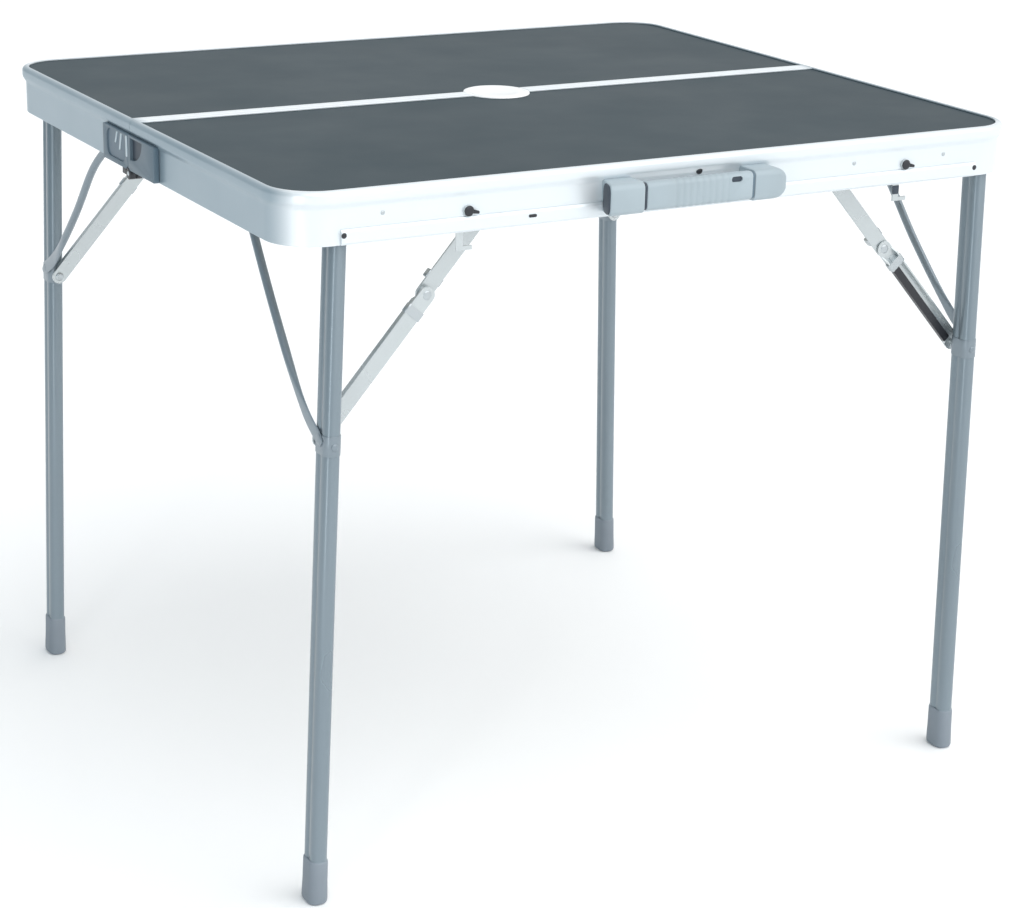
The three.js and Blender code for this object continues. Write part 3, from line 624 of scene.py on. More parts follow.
def make_parasol_cover(half):
    """Half of the round cover over the parasol hole: domed rim, a ring groove and a sunk middle."""
    profile = [
        (0.0, TOP_HEIGHT - COVER_THICKNESS),
        (COLLAR_RADIUS - 3, TOP_HEIGHT - COVER_THICKNESS),
        (COLLAR_RADIUS - 3, TOP_HEIGHT - COVER_DEPTH + 0.6),
        (COLLAR_RADIUS - 2.4, TOP_HEIGHT - COVER_DEPTH),
        (COLLAR_RADIUS - 0.6, TOP_HEIGHT - COVER_DEPTH),
        (COLLAR_RADIUS, TOP_HEIGHT - COVER_DEPTH + 0.6),
        (COLLAR_RADIUS, PANEL_TOP + 0.3),
        (COVER_RADIUS, PANEL_TOP + 0.3),
        (COVER_RADIUS, TOP_HEIGHT - 0.8),
        (COVER_RADIUS - 0.3, TOP_HEIGHT - 0.35),
        (COVER_RADIUS - 1.2, TOP_HEIGHT),
        (COVER_RADIUS - 4.2, TOP_HEIGHT),
        (COVER_RADIUS - 4.6, TOP_HEIGHT - 0.4),
        (COVER_RADIUS - 5.4, TOP_HEIGHT - 0.4),
        (COVER_RADIUS - 5.8, TOP_HEIGHT),
        (COLLAR_RADIUS - 1.6, TOP_HEIGHT),
        (COLLAR_RADIUS - 2.6, TOP_HEIGHT - 0.5),
        (0.0, TOP_HEIGHT - 0.5),
    ]
    rings = []
    steps = 48
    for i in range(steps + 1):
        angle = math.pi * (1 + i / steps)
        ring = []
        for radius, z in profile:
            ring.append((radius * math.cos(angle), radius * math.sin(angle) - FOLD_GAP, z))
        rings.append(ring)
    piece(half + "_parasol_cover_moulded", "white_plastic", half + "_half", HALF_PLACE[half],
          loft(bmesh.new(), rings), [half + "_parasol_cover"])


def quarter_recess(top):
    """The front covers' recess: a quarter of an ellipse beside the fold line, as (y, z)."""
    near, width, height = -5.5, 27, 21
    outline = [(near, top), (near, top - height)]
    steps = 12
    for i in range(steps + 1):
        angle = math.radians(3 + 84 * i / steps)
        outline.append((-9 - width * math.sin(angle), top - height * math.cos(angle)))
    outline.append((-9 - width, top))
    return outline


def make_hinge_ribs(name, body, place, side, face, depth, top):
    """Three upright ribs in the rear covers' recess, the outer two leaning."""
    ribs = [(-3.6, 20, 2.3, 0), (-19, 17, 1.6, 5), (-30, 12, 1.4, 5)]
    for number, (y, drop, half_width, lean) in enumerate(ribs, 1):
        rib = rounded((y - half_width, y + half_width), (top - drop, top + 0.6), half_width * 0.8, 4)
        leaning = [(u + lean * (v - top) / drop, v) for u, v in rib]
        proud = HINGE_COVER_X[1] if number == 1 else face - 0.5
        piece(f"{name}_rib_{number}", "pale_plastic", body, place,
              plate_x(bmesh.new(), leaning, side_span(side, face - depth - 0.2, proud)), bevel=0.3)


def make_knuckle(name, body, place, side, inner):
    """The hinge knuckle: the rear half's stands further in and has an arm up to its cover."""
    shape = bmesh.new()
    outside = HINGE_COVER_X[1]
    if inner:
        far = outside - KNUCKLE_LENGTH - 0.3
        near = far - KNUCKLE_LENGTH
        level = (FOLD_AXIS_Z - KNUCKLE_ARM_HALF, FOLD_AXIS_Z + KNUCKLE_ARM_HALF)
        turned(shape, "X", knuckle_stations(side, near, far), (0, FOLD_AXIS_Z), 40)
        slab(shape, side_span(side, near + 0.4, outside - 0.6), (-16.3, -7.6), level)
        slab(shape, side_span(side, near + 0.4, far - 0.4), (-8, -3), level)
        slab(shape, side_span(side, HINGE_COVER_X[0] + 0.2, outside - 0.6), (-16.3, -7.6),
             (FOLD_AXIS_Z + 2, RAIL_BOTTOM + 2))
    else:
        turned(shape, "X", knuckle_stations(side, outside - KNUCKLE_LENGTH, outside), (0, FOLD_AXIS_Z), 40)
    piece(name + "_knuckle", "dark_metal", body, place, shape)


def make_hinge_cover(half, side, word):
    """One side's hinge cover on one half: plate, moulded recess with ribs, screws and knuckle."""
    place = HALF_PLACE[half]
    body = half + "_half"
    inner_knuckle = half == "rear"
    name = f"hinge_cover_{half}_{word}"
    face = HINGE_COVER_X[1] - 0.2
    top = HINGE_COVER_Z[1] - 2.2
    if inner_knuckle:
        recess = rounded((-56, -7), (HINGE_COVER_Z[0] + 5, top), 9, 8)
        depth, floor_look = 1.4, "deep_slate"
    else:
        recess = quarter_recess(top)
        depth, floor_look = 3.2, "dark_plastic"
    plate = plate_x(bmesh.new(), rounded((-HINGE_COVER_HALF, 3), HINGE_COVER_Z, 1.4, 4),
                    side_span(side, HINGE_COVER_X[0], face))
    across = side_span(side, X_OUT - 20, X_OUT + 20)
    cuts = [slab(bmesh.new(), across, (-FOLD_GAP, 20), (RAIL_BOTTOM - 32, TOP_HEIGHT + 20)),
            plate_x(bmesh.new(), recess, side_span(side, face - depth, face + 5))]
    if inner_knuckle:
        cuts.append(rod(bmesh.new(), "X", KNUCKLE_RADIUS + 0.6, across, (0, FOLD_AXIS_Z), 48))
    piece(name + "_plate", "slate_plastic", body, place, plate, [name], cuts, bevel=0.4)
    piece(name + "_recess", floor_look, body, place,
          plate_x(bmesh.new(), recess, side_span(side, face - depth - 0.4, face - depth + 0.15)))
    if inner_knuckle:
        make_hinge_ribs(name, body, place, side, face, depth, top)
    screws = bmesh.new()
    for centre in HINGE_SCREWS_YZ:
        dome(screws, "X", 2.1, side * (face - 0.9), side * 1.0, centre, 20)
    piece(name + "_screws", "slate_plastic", body, place, screws)
    make_knuckle(name, body, place, side, inner_knuckle)


def knuckle_stations(side, near, far):
    """A short drum with chamfered ends."""
    low, high = side_span(side, near, far)
    return [(low, 5.2), (low + 0.5, 5.9), (high - 0.5, 5.9), (high, 5.2)]


def make_hinge_pin(side, word):
    """The pin through both knuckles of one side."""
    low, high = side_span(side, HINGE_COVER_X[1] - 2 * KNUCKLE_LENGTH - 0.8, HINGE_COVER_X[1] + 0.3)
    head = [(low, 1.9), (low + 0.4, 2.4), (high - 0.4, 2.4), (high, 1.9)]
    shape = turned(bmesh.new(), "X", head, (0, FOLD_AXIS_Z), 28)
    piece("hinge_pin_" + word + "_turned", "bright_upright", "hinge_pins", HALF_PLACE["front"], shape,
          ["hinge_pin_" + word])


def make_half(half):
    """Everything fixed to one half of the top, except the handle, latches and leg brackets."""
    dress(half + "_panel", "laminate")
    dress(half + "_centre_rail", "rim")
    dress(half + "_band", "rim")
    make_rim(half)
    make_parasol_cover(half)
    words = ("left", "right") if half == "front" else ("right", "left")
    for side, word in zip((-1, 1), words):
        make_hinge_cover(half, side, word)
    body, place = half + "_half", HALF_PLACE[half]
    screws = bmesh.new()
    for x in (-BAND_SCREW_X, BAND_SCREW_X):
        dome(screws, "Y", 2.6, -Y_OUT + 0.7, -0.7, (x, BAND_SCREW_Z), 20)
    plate_y(screws, rounded(BAND_SLOT_X, BAND_SLOT_Z, 1.3, 4), (-Y_OUT, -Y_OUT + 0.8))
    piece(half + "_band_screws", "dark_metal", body, place, screws)
    rivets = bmesh.new()
    for centre in RAIL_RIVETS_XZ:
        dome(rivets, "Y", 2.1, RAIL_FACE, -0.9, centre, 18)
    piece(half + "_rail_rivets", "bright_upright", body, place, rivets)
    if half == "front":
        stop = dome(bmesh.new(), "Y", 3.4, RAIL_FACE, -2.6, RAIL_STOP_XZ, 20)
        piece("front_rail_stop", "dark_metal", body, place, stop)


# ---------- handle ----------

def pillow(x_stations, y, z, corner, steps=6):
    """Rings of a bar along X; each station is (x, inset of its depth, inset of its height)."""
    rings = []
    for x, inset_y, inset_z in x_stations:
        outline = rounded((y[0] + inset_y, y[1] - inset_y), (z[0] + inset_z, z[1] - inset_z),
                          max(corner - min(inset_y, inset_z), 0.5), steps)
        rings.append([(x, u, v) for u, v in outline])
    return rings


def eased(near, far, radius, share_y, share_z):
    """Stations from a flat near end to a rounded far end."""
    sign = 1 if far > near else -1
    stations = [(near, 0.8, 0.8), (near + sign * 0.4, 0.2, 0.2), (near + sign * 0.9, 0, 0)]
    for i in range(9):
        angle = math.radians(86 * i / 8)
        fall = radius * (1 - math.cos(angle))
        stations.append((far - sign * radius * (1 - math.sin(angle)), share_y * fall, share_z * fall))
    return stations


def slanted(shape, inner, outer):
    """Draws the rear of a mount's outer end in, so that the end runs back to the rail at a slant."""
    for vert in shape.verts:
        share = max(0.0, min(1.0, (inner - vert.co.x) / (inner - outer)))
        vert.co.x += END_SLANT * share * share * (vert.co.y - HANDLE_FRONT)
    return shape


def make_handle_mounts(place):
    """The two moulded mounts on the front rail, and the dark cap on the left one's end."""
    for side, word in ((-1, "left"), (1, "right")):
        inner = HANDLE_X + side * (HANDLE_HALF - MOUNT_LENGTH)
        outer = HANDLE_X + side * HANDLE_HALF
        if side < 0:
            stations = eased(inner, outer + 1.6, LEFT_END_RADIUS, 0.6, 0.6)
        else:
            stations = eased(inner, outer, RIGHT_END_RADIUS, 0.45, 0.92)
        shape = loft(bmesh.new(), pillow(stations, (HANDLE_FRONT, MOUNT_BACK + 8), HANDLE_Z, 6))
        if side < 0:
            slanted(shape, inner, outer)
        rail = slab(bmesh.new(), (-150, 150), (MOUNT_BACK, 0), (600, 700))
        band = slab(bmesh.new(), (-150, 150), (BAND_FRONT, 0), (600, BAND_TOP))
        socket_x = sorted((inner - side, inner + side * 8))
        socket = rod(bmesh.new(), "X", 3.3, socket_x, PIN_LINE, 28)
        piece(f"handle_mount_{word}_shell", "grey_plastic", "front_half", place, shape,
              ["handle_mount_" + word], [rail, band, socket])
    inner, outer = HANDLE_X - HANDLE_HALF + MOUNT_LENGTH, HANDLE_X - HANDLE_HALF
    cap = pillow([(outer, 2.2, 2.0), (outer + 0.5, 1.2, 1.0), (outer + 2.2, 1.0, 0.8)],
                 (HANDLE_FRONT, MOUNT_BACK - 4), HANDLE_Z, 9)
    shape = slanted(loft(bmesh.new(), cap), inner, outer)
    piece("handle_end_cap", "dark_plastic", "front_half", place, shape)


def make_handle_grip(place):
    """The swinging grip: ribbed bar with a dark slot, a collar at each end, and its pins."""
    low, high = HANDLE_X - GRIP_HALF, HANDLE_X + GRIP_HALF
    stations = [(low, 1.4, 1.4), (low + 0.6, 0.5, 0.5), (low + 1.4, 0, 0.3)]
    for i in range(GRIP_RIBS):
        x = HANDLE_X + GRIP_RIBS_X[0] + (GRIP_RIBS_X[1] - GRIP_RIBS_X[0]) * i / (GRIP_RIBS - 1)
        stations += [(x - 1.8, 0, 0), (x - 0.9, 0.3, 0.25), (x + 0.9, 0.3, 0.25), (x + 1.8, 0, 0)]
    stations += [(high - 1.4, 0, 0.3), (high - 0.6, 0.5, 0.5), (high, 1.4, 1.4)]
    grip_z = (HANDLE_Z[1] - GRIP_DEPTH, HANDLE_Z[1] - 0.5)
    grip_y = (HANDLE_FRONT, GRIP_BACK)
    grip = loft(bmesh.new(), pillow(stations, grip_y, grip_z, 5, 7))
    slot_x = [HANDLE_X + reach for reach in GRIP_SLOT_X]
    slot_z = [HANDLE_Z[1] - drop for drop in GRIP_SLOT_DROP]
    outline = rounded(slot_x, slot_z, 2.4, 6)
    slot = plate_y(bmesh.new(), outline, (HANDLE_FRONT - 1, HANDLE_FRONT + 2))
    piece("handle_grip_bar", "grey_plastic", "handle", place, grip, ["handle_grip"], [slot])
    dark_sheet = plate_y(bmesh.new(), outline, (HANDLE_FRONT + 1.5, HANDLE_FRONT + 2.4))
    piece("handle_grip_slot", "dark_plastic", "handle", place, dark_sheet)
    for end, word, look in ((-1, "left", "dark_plastic"), (1, "right", "slate_plastic")):
        x = sorted((HANDLE_X + end * (GRIP_HALF - 0.4), HANDLE_X + end * (GRIP_HALF + 1.8)))
        collar = pillow([(x[0], 0.9, 0.9), (x[1], 0.9, 0.9)], grip_y, grip_z, 5, 7)
        piece("handle_collar_" + word, look, "handle", place, loft(bmesh.new(), collar))
    pins = rod(bmesh.new(), "X", 2.9, (HANDLE_X - 66, HANDLE_X + 66), PIN_LINE, 24, 0.3)
    piece("handle_grip_pins", "dark_metal", "handle", place, pins)


# ---------- latches ----------

def make_latches():
    """Each latch's rivet head with its small lever, and the dark sleeve on the right hook."""
    place = HALF_PLACE["front"]
    for word in ("left", "right"):
        body = "latch_" + word
        dress(body, "bright")
        dress("latch_stud_" + word, "dark_metal")
        pivot = joint_place(body + "_turn") / MM
        x, z = pivot.x, pivot.z
        shape = bmesh.new()
        dome(shape, "Y", 4.8, -Y_OUT + 1, -1.3, (x, z), 24)
        lever = [(x + u, z + v) for u, v in LEVER_OUTLINE]
        plate_y(shape, lever, (-Y_OUT + 0.3, -Y_OUT + 1.3))
        piece(body + "_knob", "dark_metal", body, place, shape)
        if word == "right":
            sleeve = slab(bmesh.new(), [x + reach for reach in SLEEVE_X], SLEEVE_Y, SLEEVE_Z)
            piece("latch_right_sleeve", "dark_plastic", body, place, sleeve, bevel=1.2)


# ---------- legs ----------

def leg_frame(name):
    """A leg's local frame, pivot at the origin and the leg along -Z, and its side."""
    half, side = LEGS[name]
    place = Matrix.Translation(joint_place("leg_fold_" + name))
    if half == "rear":
        place = place @ Matrix.Rotation(math.pi, 4, "Z")
    return place @ Matrix.Rotation(-side * LEG_SPLAY, 4, "Y"), side


def curve_points(points, steps):
    """A smooth path through the points (Catmull-Rom)."""
    vectors = [Vector(p) for p in points]
    ends = [2 * vectors[0] - vectors[1], *vectors, 2 * vectors[-1] - vectors[-2]]
    path = []
    for i in range(1, len(ends) - 2):
        a, b, c, d = ends[i - 1:i + 3]
        for k in range(steps):
            t = k / steps
            path.append(0.5 * ((2 * b) + (c - a) * t + (2 * a - 5 * b + 4 * c - d) * t * t
                               + (3 * b - a - 3 * c + d) * t ** 3))
    path.append(vectors[-1])
    return path


def leg_section(inset):
    """The flat-oval section with a shallow drawn groove down the middle of each wide face."""
    points = centred(TUBE, TUBE_CORNER, 8, inset)
    grooved = []
    for i, (u, v) in enumerate(points):
        grooved.append((u, v))
        after = points[(i + 1) % len(points)]
        if abs(u - after[0]) < 1e-6 and abs(v - after[1]) > 4:
            way = 1 if after[1] > v else -1
            side = 1 if u > 0 else -1
            for along, depth in GROOVE:
                grooved.append((u - side * depth, way * along))
    return grooved


def make_tube(name, place, pivot_z):
    """The leg's drawn tube, which ends inside the foot."""
    length = pivot_z / math.cos(LEG_SPLAY)
    bottom = -length + TUBE_ABOVE_FLOOR
    shape = bmesh.new()
    stations = [(bottom, 0.0), (LEG_TOP - 1.2, 0.0), (LEG_TOP - 0.4, 0.35), (LEG_TOP, 1.2)]
    loft(shape, [[(u, v, z) for u, v in leg_section(inset)] for z, inset in stations])
    piece(f"leg_tube_{name}_drawn", "leg", "leg_" + name, place, shape, ["leg_tube_" + name])


def make_foot(name, place, side, pivot_z):
    """A smooth moulded cap that widens towards a sole cut level with the floor."""
    length = pivot_z / math.cos(LEG_SPLAY)
    lean = side * LEG_SPLAY
    stations = [
        (FOOT_HEIGHT, 1.6),
        (FOOT_HEIGHT - 0.7, 0.9),
        (FOOT_HEIGHT - 2.0, 0.6),
        (22, 0.45),
        (10, 0.1),
        (4.0, 0.0),
        (2.0, 0.25),
        (0.8, 0.9),
        (0.0, 2.2),
    ]
    rings = []
    for height, inset in stations:
        ring = []
        for u, v in centred(FOOT, 9, 8, inset):
            share = min(1.0, max(0.0, 1 - height / 12))
            tilt = -u * math.tan(lean) * share
            ring.append((u, v, -length + height + tilt))
        rings.append(ring)
    piece(f"leg_foot_{name}_cap", "foot_plastic", "leg_" + name, place, loft(bmesh.new(), rings),
          ["leg_foot_" + name])


def make_strut(name, place, side, pivot_z):
    """The strut: a bent rod beaten flat where it is riveted to the leg, with a rolled eye on the axle."""
    drop = pivot_z - JOINT_Z
    flat_width, flat_depth = STRUT_FLAT_HALF
    plane = side * (TUBE[0] / 2 + 0.3 + flat_depth)
    knots = [
        (plane, -6, -drop - 4),
        (plane, 36, -drop + 22),
        (plane, 98, -drop * 0.57),
        (plane, 148, -drop * 0.27),
        (plane * 0.6, STRUT_REACH - 6, -19),
        (plane * 0.3, STRUT_REACH, -8.5),
    ]
    path = curve_points(knots, 10)
    tip = (0.45, 0.8, 0.96)
    segments = 20
    rings = []
    for i, point in enumerate(path):
        ahead = path[min(i + 1, len(path) - 1)] - path[max(i - 1, 0)]
        across = Vector((0, -ahead.z, ahead.y)).normalized()
        flat = max(0.0, min(1.0, (16 - i) / 8))
        flat = flat * flat * (3 - 2 * flat)
        half_width = STRUT_RADIUS + (flat_width - STRUT_RADIUS) * flat
        half_depth = STRUT_RADIUS + (flat_depth - STRUT_RADIUS) * flat
        if i < len(tip):
            half_width *= tip[i]
        ring = []
        for k in range(segments):
            angle = 2 * math.pi * k / segments
            sideways = Vector((half_depth * math.sin(angle), 0, 0))
            ring.append(point + across * (half_width * math.cos(angle)) + sideways)
        rings.append(ring)
    shape = loft(bmesh.new(), rings)
    eye = (STRUT_REACH - EYE_LENGTH / 2, STRUT_REACH + EYE_LENGTH / 2)
    tube_ring(shape, "Y", (AXLE_RADIUS + 0.3, EYE_RADIUS), eye)
    piece(f"leg_strut_{name}_bent", "strut", "leg_" + name, place, shape, ["leg_strut_" + name])


def make_leg_fittings(name, place, side, pivot_z):
    """Axle, the riveted saddle where strut and brace meet the leg, and the rivet heads."""
    drop = pivot_z - JOINT_Z
    body = "leg_" + name
    stations = [(-13.5, 3.2), (-13.2, AXLE_RADIUS), (AXLE_END - 1, AXLE_RADIUS), (AXLE_END, 3.0)]
    axle = turned(bmesh.new(), "Y", stations)
    piece(f"leg_axle_{name}_turned", "bright_upright", body, place, axle, ["leg_axle_" + name])
    size = (TUBE[0] + SADDLE_MARGIN, TUBE[1] + SADDLE_MARGIN)
    corner = TUBE_CORNER + SADDLE_MARGIN / 2
    rings = []
    for z, inset in ((-15, 0.25), (-14.2, 0), (3.2, 0), (4, 0.25)):
        rings.append([(u, v, z - drop) for u, v in centred(size, corner, 8, inset)])
    piece(f"leg_saddle_{name}", "strut", body, place, loft(bmesh.new(), rings))
    rivets = bmesh.new()
    dome(rivets, "X", 4.2, side * (TUBE[0] / 2 + 2.0), side * LEG_RIVET_HEIGHT, (0, -drop))
    dome(rivets, "Y", 3.4, -TUBE[1] / 2 - 0.5, -1.2, (0, -drop - BRACE_BELOW_STRUT))
    piece(f"leg_rivets_{name}", "strut", body, place, rivets)


# ---------- folding braces ----------

def link_frame(name, joint, target):
    """A link's local frame: its own pivot at the origin, +X towards the other link's pivot."""
    half = LEGS[name][0]
    start, end = joint_place(joint), joint_place(target)
    turn = Matrix.Rotation(math.pi, 4, "Z") if half == "rear" else Matrix()
    ahead = turn.inverted() @ (end - start)
    return Matrix.Translation(start) @ turn @ Matrix.Rotation(math.atan2(-ahead.z, ahead.x), 4, "Y")


def link_lengths(name):
    """Lengths of the upper and lower link that lie straight when the leg stands and fold flat with it."""
    pivot = joint_place("leg_fold_" + name)
    on_half = joint_place("brace_upper_fold_" + name)
    on_leg = joint_place("brace_lower_fold_" + name)
    span = (on_half - on_leg).length / MM
    difference = ((on_leg - pivot).length - (on_half - pivot).length) / MM
    return (span - difference) / 2, (span + difference) / 2


def channel(shape, length, near, opens_out=False):
    """A pressed channel with round ends, tapering walls and a raised rib down its back."""
    half = LINK_WIDTH / 2
    steps = 12
    outline = []
    for centre, start in ((length, -90), (0, 90)):
        for i in range(steps + 1):
            angle = math.radians(start + 180 * i / steps)
            outline.append((centre + half * math.cos(angle), half * math.sin(angle)))

    def depth(rise):
        return near + LINK_THICKNESS - rise if opens_out else near + rise

    edge = 0.35
    small = shrunk(outline, length, edge)
    loft(shape, [
        [(u, depth(0), v) for u, v in small],
        [(u, depth(edge), v) for u, v in outline],
        [(u, depth(LINK_SHEET), v) for u, v in outline],
    ])
    low, high = half * 0.6, length - half * 0.6
    wall = [(low, edge), (low, LINK_SHEET), (low + 6, LINK_THICKNESS), (high - 6, LINK_THICKNESS),
            (high, LINK_SHEET), (high, edge)]
    for sign in (-1, 1):
        levels = sorted((sign * (half - WALL_INSET), sign * (half - LINK_SHEET)))
        loft(shape, [[(x, depth(rise), level) for x, rise in wall] for level in levels])
    rib_ends = (RIB_START, length - RIB_START)
    slab(shape, rib_ends, sorted((depth(LINK_SHEET - 0.2), depth(LINK_SHEET + 0.7))), (-RIB_HALF, RIB_HALF))
    return shape


def shrunk(outline, length, edge):
    """The link's outline drawn in by edge all round."""
    half = LINK_WIDTH / 2
    points = []
    for u, v in outline:
        centre = length if u > length / 2 else 0
        points.append((centre + (u - centre) * (half - edge) / half, v * (half - edge) / half))
    return points


def strap(shape, x, near, out_side):
    """A ring round a link, proud of its two edges and of the side away from the other link."""
    half = LINK_WIDTH / 2 + 1.3
    low = near - (0.7 if out_side < 0 else -0.1)
    high = near + LINK_THICKNESS + (0.7 if out_side > 0 else -0.1)
    outline = rounded((low, high), (-half, half), 1.6, 4)
    middle = (low + high) / 2
    rings = []
    for position, inset in ((x[0], 0.5), (x[0] + 0.6, 0), (x[1] - 0.6, 0), (x[1], 0.5)):
        ring = []
        for u, v in outline:
            inwards = inset * 0.4 if u < middle else -inset * 0.4
            ring.append((position, u + inwards, v * (1 - inset / half / 2)))
        rings.append(ring)
    loft(shape, rings)


def make_upper_link(name, length, place):
    """The upper link with a bore at its bracket, and its lock: a ring, an eye and a rivet head."""
    body = "brace_upper_" + name
    web = UPPER_LINK_NEAR + LINK_SHEET
    shape = channel(bmesh.new(), length, UPPER_LINK_NEAR)
    bore = rod(bmesh.new(), "Y", RIVET_RADIUS + 0.3, (0, 60), (0, 0), 24)
    piece(body + "_channel", "bright", body, place, shape, [body], [bore])
    lock = bmesh.new()
    strap(lock, [length - reach for reach in LOCK_FROM_END], UPPER_LINK_NEAR, 1)
    rod(lock, "Y", 7, (web - 0.2, web + 1.4), (length, 0), 32, 0.3)
    dome(lock, "Y", 4.4, web + 1.3, 2.2, (length, 0))
    piece(body + "_lock", "bright_upright", body, place, lock)


def make_lower_link(name, length, place):
    """The lower link with its rivet to the leg and its collar; on two legs the channel opens outwards, with
    a dark sheet inside it as painted shade.
    """
    body = "brace_lower_" + name
    opens_out = name in OPEN_SIDE_OUT
    web = LOWER_LINK_NEAR + (LINK_THICKNESS - LINK_SHEET if opens_out else 0)
    shape = channel(bmesh.new(), length, LOWER_LINK_NEAR, opens_out)
    rod(shape, "Y", RIVET_RADIUS, (10.4, web + 0.5), (0, 0), 24)
    piece(body + "_channel", "bright", body, place, shape, [body])
    collar = bmesh.new()
    strap(collar, [length - reach for reach in COLLAR_FROM_END], LOWER_LINK_NEAR, -1)
    rod(collar, "Y", 6.4, (web + LINK_SHEET - 0.2, UPPER_LINK_NEAR - 0.15), (length, 0))
    dome(collar, "Y", 4.4, web + 0.1, -1.0, (length, 0))
    piece(body + "_collar", "bright_upright", body, place, collar)
    head = dome(bmesh.new(), "Y", 4.6, web + LINK_SHEET - 0.2, 2.0)
    piece(body + "_rivet", "bright_upright", body, place, head)
    if opens_out:
        # Painted shade: a dark sheet stands inside the open channel for the shade on its inner faces.
        reach = (PAINTED_SHADE_FROM_ENDS[0], length - PAINTED_SHADE_FROM_ENDS[1])
        dark_sheet = slab(bmesh.new(), reach, (LOWER_LINK_NEAR - 0.05, web + 0.2), (0.2, LINK_WIDTH / 2 + 0.05))
        piece(body + "_painted_shade_sheet", "dark_metal", body, place, dark_sheet)


def make_braces(name):
    """A leg's folding brace: two links that meet at a pivot the model leaves open."""
    upper_length, lower_length = link_lengths(name)
    upper_joint, lower_joint = "brace_upper_fold_" + name, "brace_lower_fold_" + name
    make_upper_link(name, upper_length, link_frame(name, upper_joint, lower_joint))
    make_lower_link(name, lower_length, link_frame(name, lower_joint, upper_joint))


def make_brackets(name):
    """Looks of a leg's three CAD brackets, with two rivets each through the flange."""
    half = LEGS[name][0]
    offset = 0.1 if half == "front" else -0.1
    rivets = bmesh.new()
    for node in ("leg_bracket_" + name, "strut_bracket_" + name, "brace_anchor_" + name):
        dress(node, "bright")
        low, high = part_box(node)
        y = (low.y + high.y) / 2 + (high.y - low.y) * offset
        for x in (low.x * 0.82 + high.x * 0.18, low.x * 0.18 + high.x * 0.82):
            dome(rivets, "Z", 3.0, FLANGE_BOTTOM, -1.5, (x / MM, y / MM), 20)
    piece("bracket_rivets_" + name, "bright_upright", half + "_half", Matrix(), rivets)


def make_leg(name):
    """A leg with everything fixed to it, its brace and its brackets."""
    place, side = leg_frame(name)
    pivot_z = joint_place("leg_fold_" + name).z / MM
    make_tube(name, place, pivot_z)
    make_foot(name, place, side, pivot_z)
    make_strut(name, place, side, pivot_z)
    make_leg_fittings(name, place, side, pivot_z)
    make_braces(name)
    make_brackets(name)


# ---------- camera, light and floor ----------

def make_camera():
    """A camera turned from +Y by yaw towards +X, down by pitch, and about its own axis by roll."""
    yaw, pitch, roll = (math.radians(angle) for angle in CAMERA_YAW_PITCH_ROLL)
    ahead = Vector((math.sin(yaw) * math.cos(pitch), math.cos(yaw) * math.cos(pitch), -math.sin(pitch)))
    right = Vector((math.cos(yaw), -math.sin(yaw), 0))
    down = ahead.cross(right)
    right_rolled = right * math.cos(roll) + down * math.sin(roll)
    down_rolled = down * math.cos(roll) - right * math.sin(roll)
    axes = Matrix((right_rolled, -down_rolled, -ahead)).transposed().to_4x4()
    data = bpy.data.cameras.new("camera")
    data.sensor_width = SENSOR_WIDTH
    data.lens = CAMERA_LENS
    data.clip_end = 60
    camera = bpy.data.objects.new("camera", data)
    camera.matrix_world = Matrix.Translation(CAMERA_PLACE) @ axes
    bpy.context.scene.collection.objects.link(camera)
    bpy.context.scene.camera = camera


def area_light(name, position, target, size, power):
    """A rectangular softbox that looks at a target."""
    data = bpy.data.lights.new(name, "AREA")
    data.shape = "RECTANGLE"
    data.size, data.size_y = size
    data.energy = power
    light = bpy.data.objects.new(name, data)
    light.location = position
    light.rotation_mode = "QUATERNION"
    light.rotation_quaternion = (Vector(target) - Vector(position)).to_track_quat("-Z", "Y")
    bpy.context.scene.collection.objects.link(light)


def soft_sun(name, towards, power, spread):
    """Very soft light from one direction; spread is the angle that its source takes up."""
    data = bpy.data.lights.new(name, "SUN")
    data.energy = power
    data.angle = math.radians(spread)
    light = bpy.data.objects.new(name, data)
    light.rotation_mode = "QUATERNION"
    light.rotation_quaternion = Vector(towards).to_track_quat("Z", "Y")
    bpy.context.scene.collection.objects.link(light)


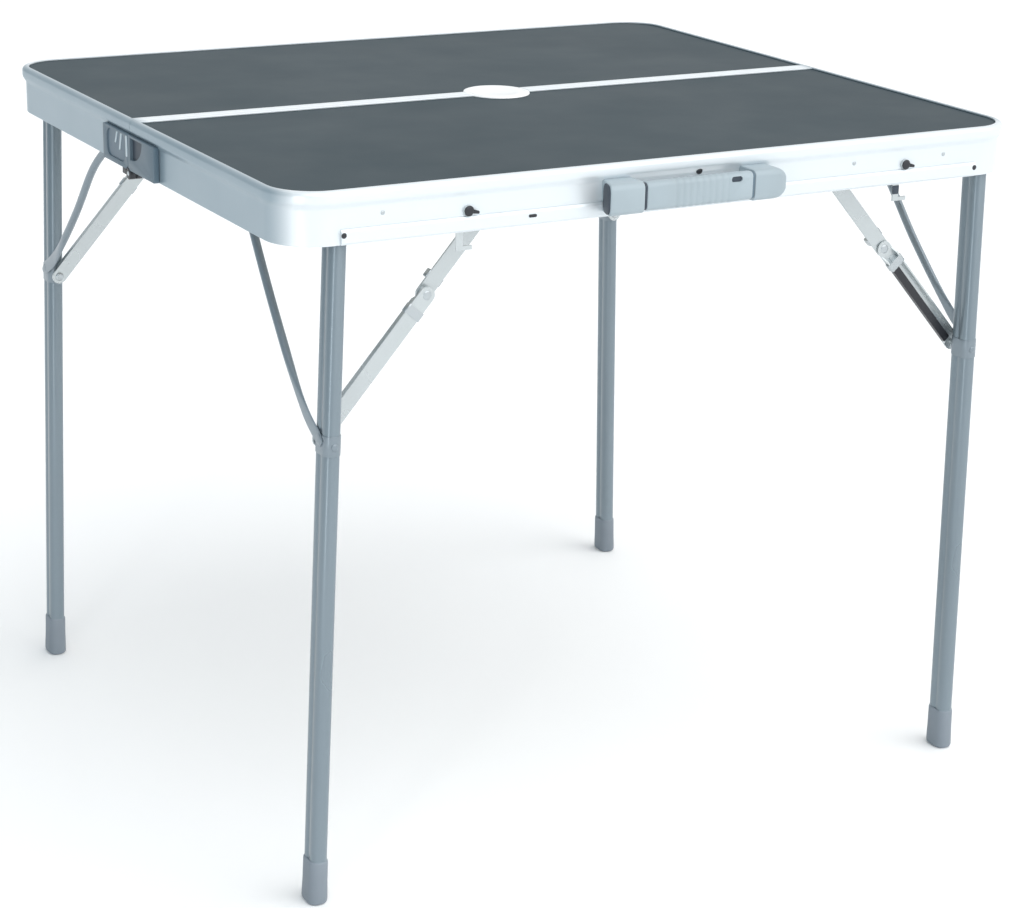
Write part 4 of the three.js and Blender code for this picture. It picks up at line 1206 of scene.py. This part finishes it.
def make_world():
    """Soft studio surround: white in front and above, cooler and dimmer to the left."""
    bpy.context.scene.view_settings.view_transform = "Standard"
    world = bpy.data.worlds.new("studio")
    world.use_nodes = True
    bpy.context.scene.world = world
    tree = world.node_tree
    tree.nodes.clear()
    output = tree.nodes.new("ShaderNodeOutputWorld")
    background = tree.nodes.new("ShaderNodeBackground")
    place = tree.nodes.new("ShaderNodeTexCoord")
    parts = tree.nodes.new("ShaderNodeSeparateXYZ")
    ramp = tree.nodes.new("ShaderNodeMapRange")
    mix = tree.nodes.new("ShaderNodeMix")
    mix.data_type = "RGBA"
    mix.inputs[6].default_value = (0.35, 0.43, 0.48, 1)
    mix.inputs[7].default_value = (1, 1, 1, 1)
    ramp.inputs["From Min"].default_value = -0.9
    ramp.inputs["From Max"].default_value = 0.3
    tree.links.new(place.outputs["Generated"], parts.inputs[0])
    tree.links.new(parts.outputs["X"], ramp.inputs["Value"])
    tree.links.new(ramp.outputs[0], mix.inputs["Factor"])
    tree.links.new(mix.outputs[2], background.inputs["Color"])
    background.inputs["Strength"].default_value = 1.0
    tree.links.new(background.outputs[0], output.inputs["Surface"])


def make_floor():
    """A plain pale floor, laid in large tiles just under the feet."""
    shape = bmesh.new()
    size = 2 * FLOOR_REACH / FLOOR_TILES
    for i in range(FLOOR_TILES):
        for k in range(FLOOR_TILES):
            x, y = -FLOOR_REACH + size * i, -FLOOR_REACH + size * k
            corners = [(x, y), (x + size, y), (x + size, y + size), (x, y + size)]
            shape.faces.new([shape.verts.new((u, v, -FLOOR_DROP)) for u, v in corners])
    floor = plain_object("floor", shape, Matrix())
    nodes = Nodes("pale_floor")
    clouds = nodes.noise(1.5, 3)
    nodes.set(Base_Color=nodes.blend(nodes.spread(clouds, 0, 1), (0.955, 0.96, 0.965), (0.975, 0.98, 0.98)))
    nodes.set(Roughness=0.8)
    floor.data.materials.append(nodes.material)


for half_name in HALVES:
    make_half(half_name)
for pin_side, pin_word in ((-1, "left"), (1, "right")):
    make_hinge_pin(pin_side, pin_word)
make_handle_mounts(HALF_PLACE["front"])
make_handle_grip(HALF_PLACE["front"])
make_latches()
for leg_name in LEGS:
    make_leg(leg_name)
make_camera()
make_world()
make_floor()
soft_sun("front_key", (0.30, -0.80, 0.95), 1.6, 75)
area_light("left_strip", (-2.3, -2.0, 0.7), (0, 0, 0.45), (0.25, 1.8), 10)
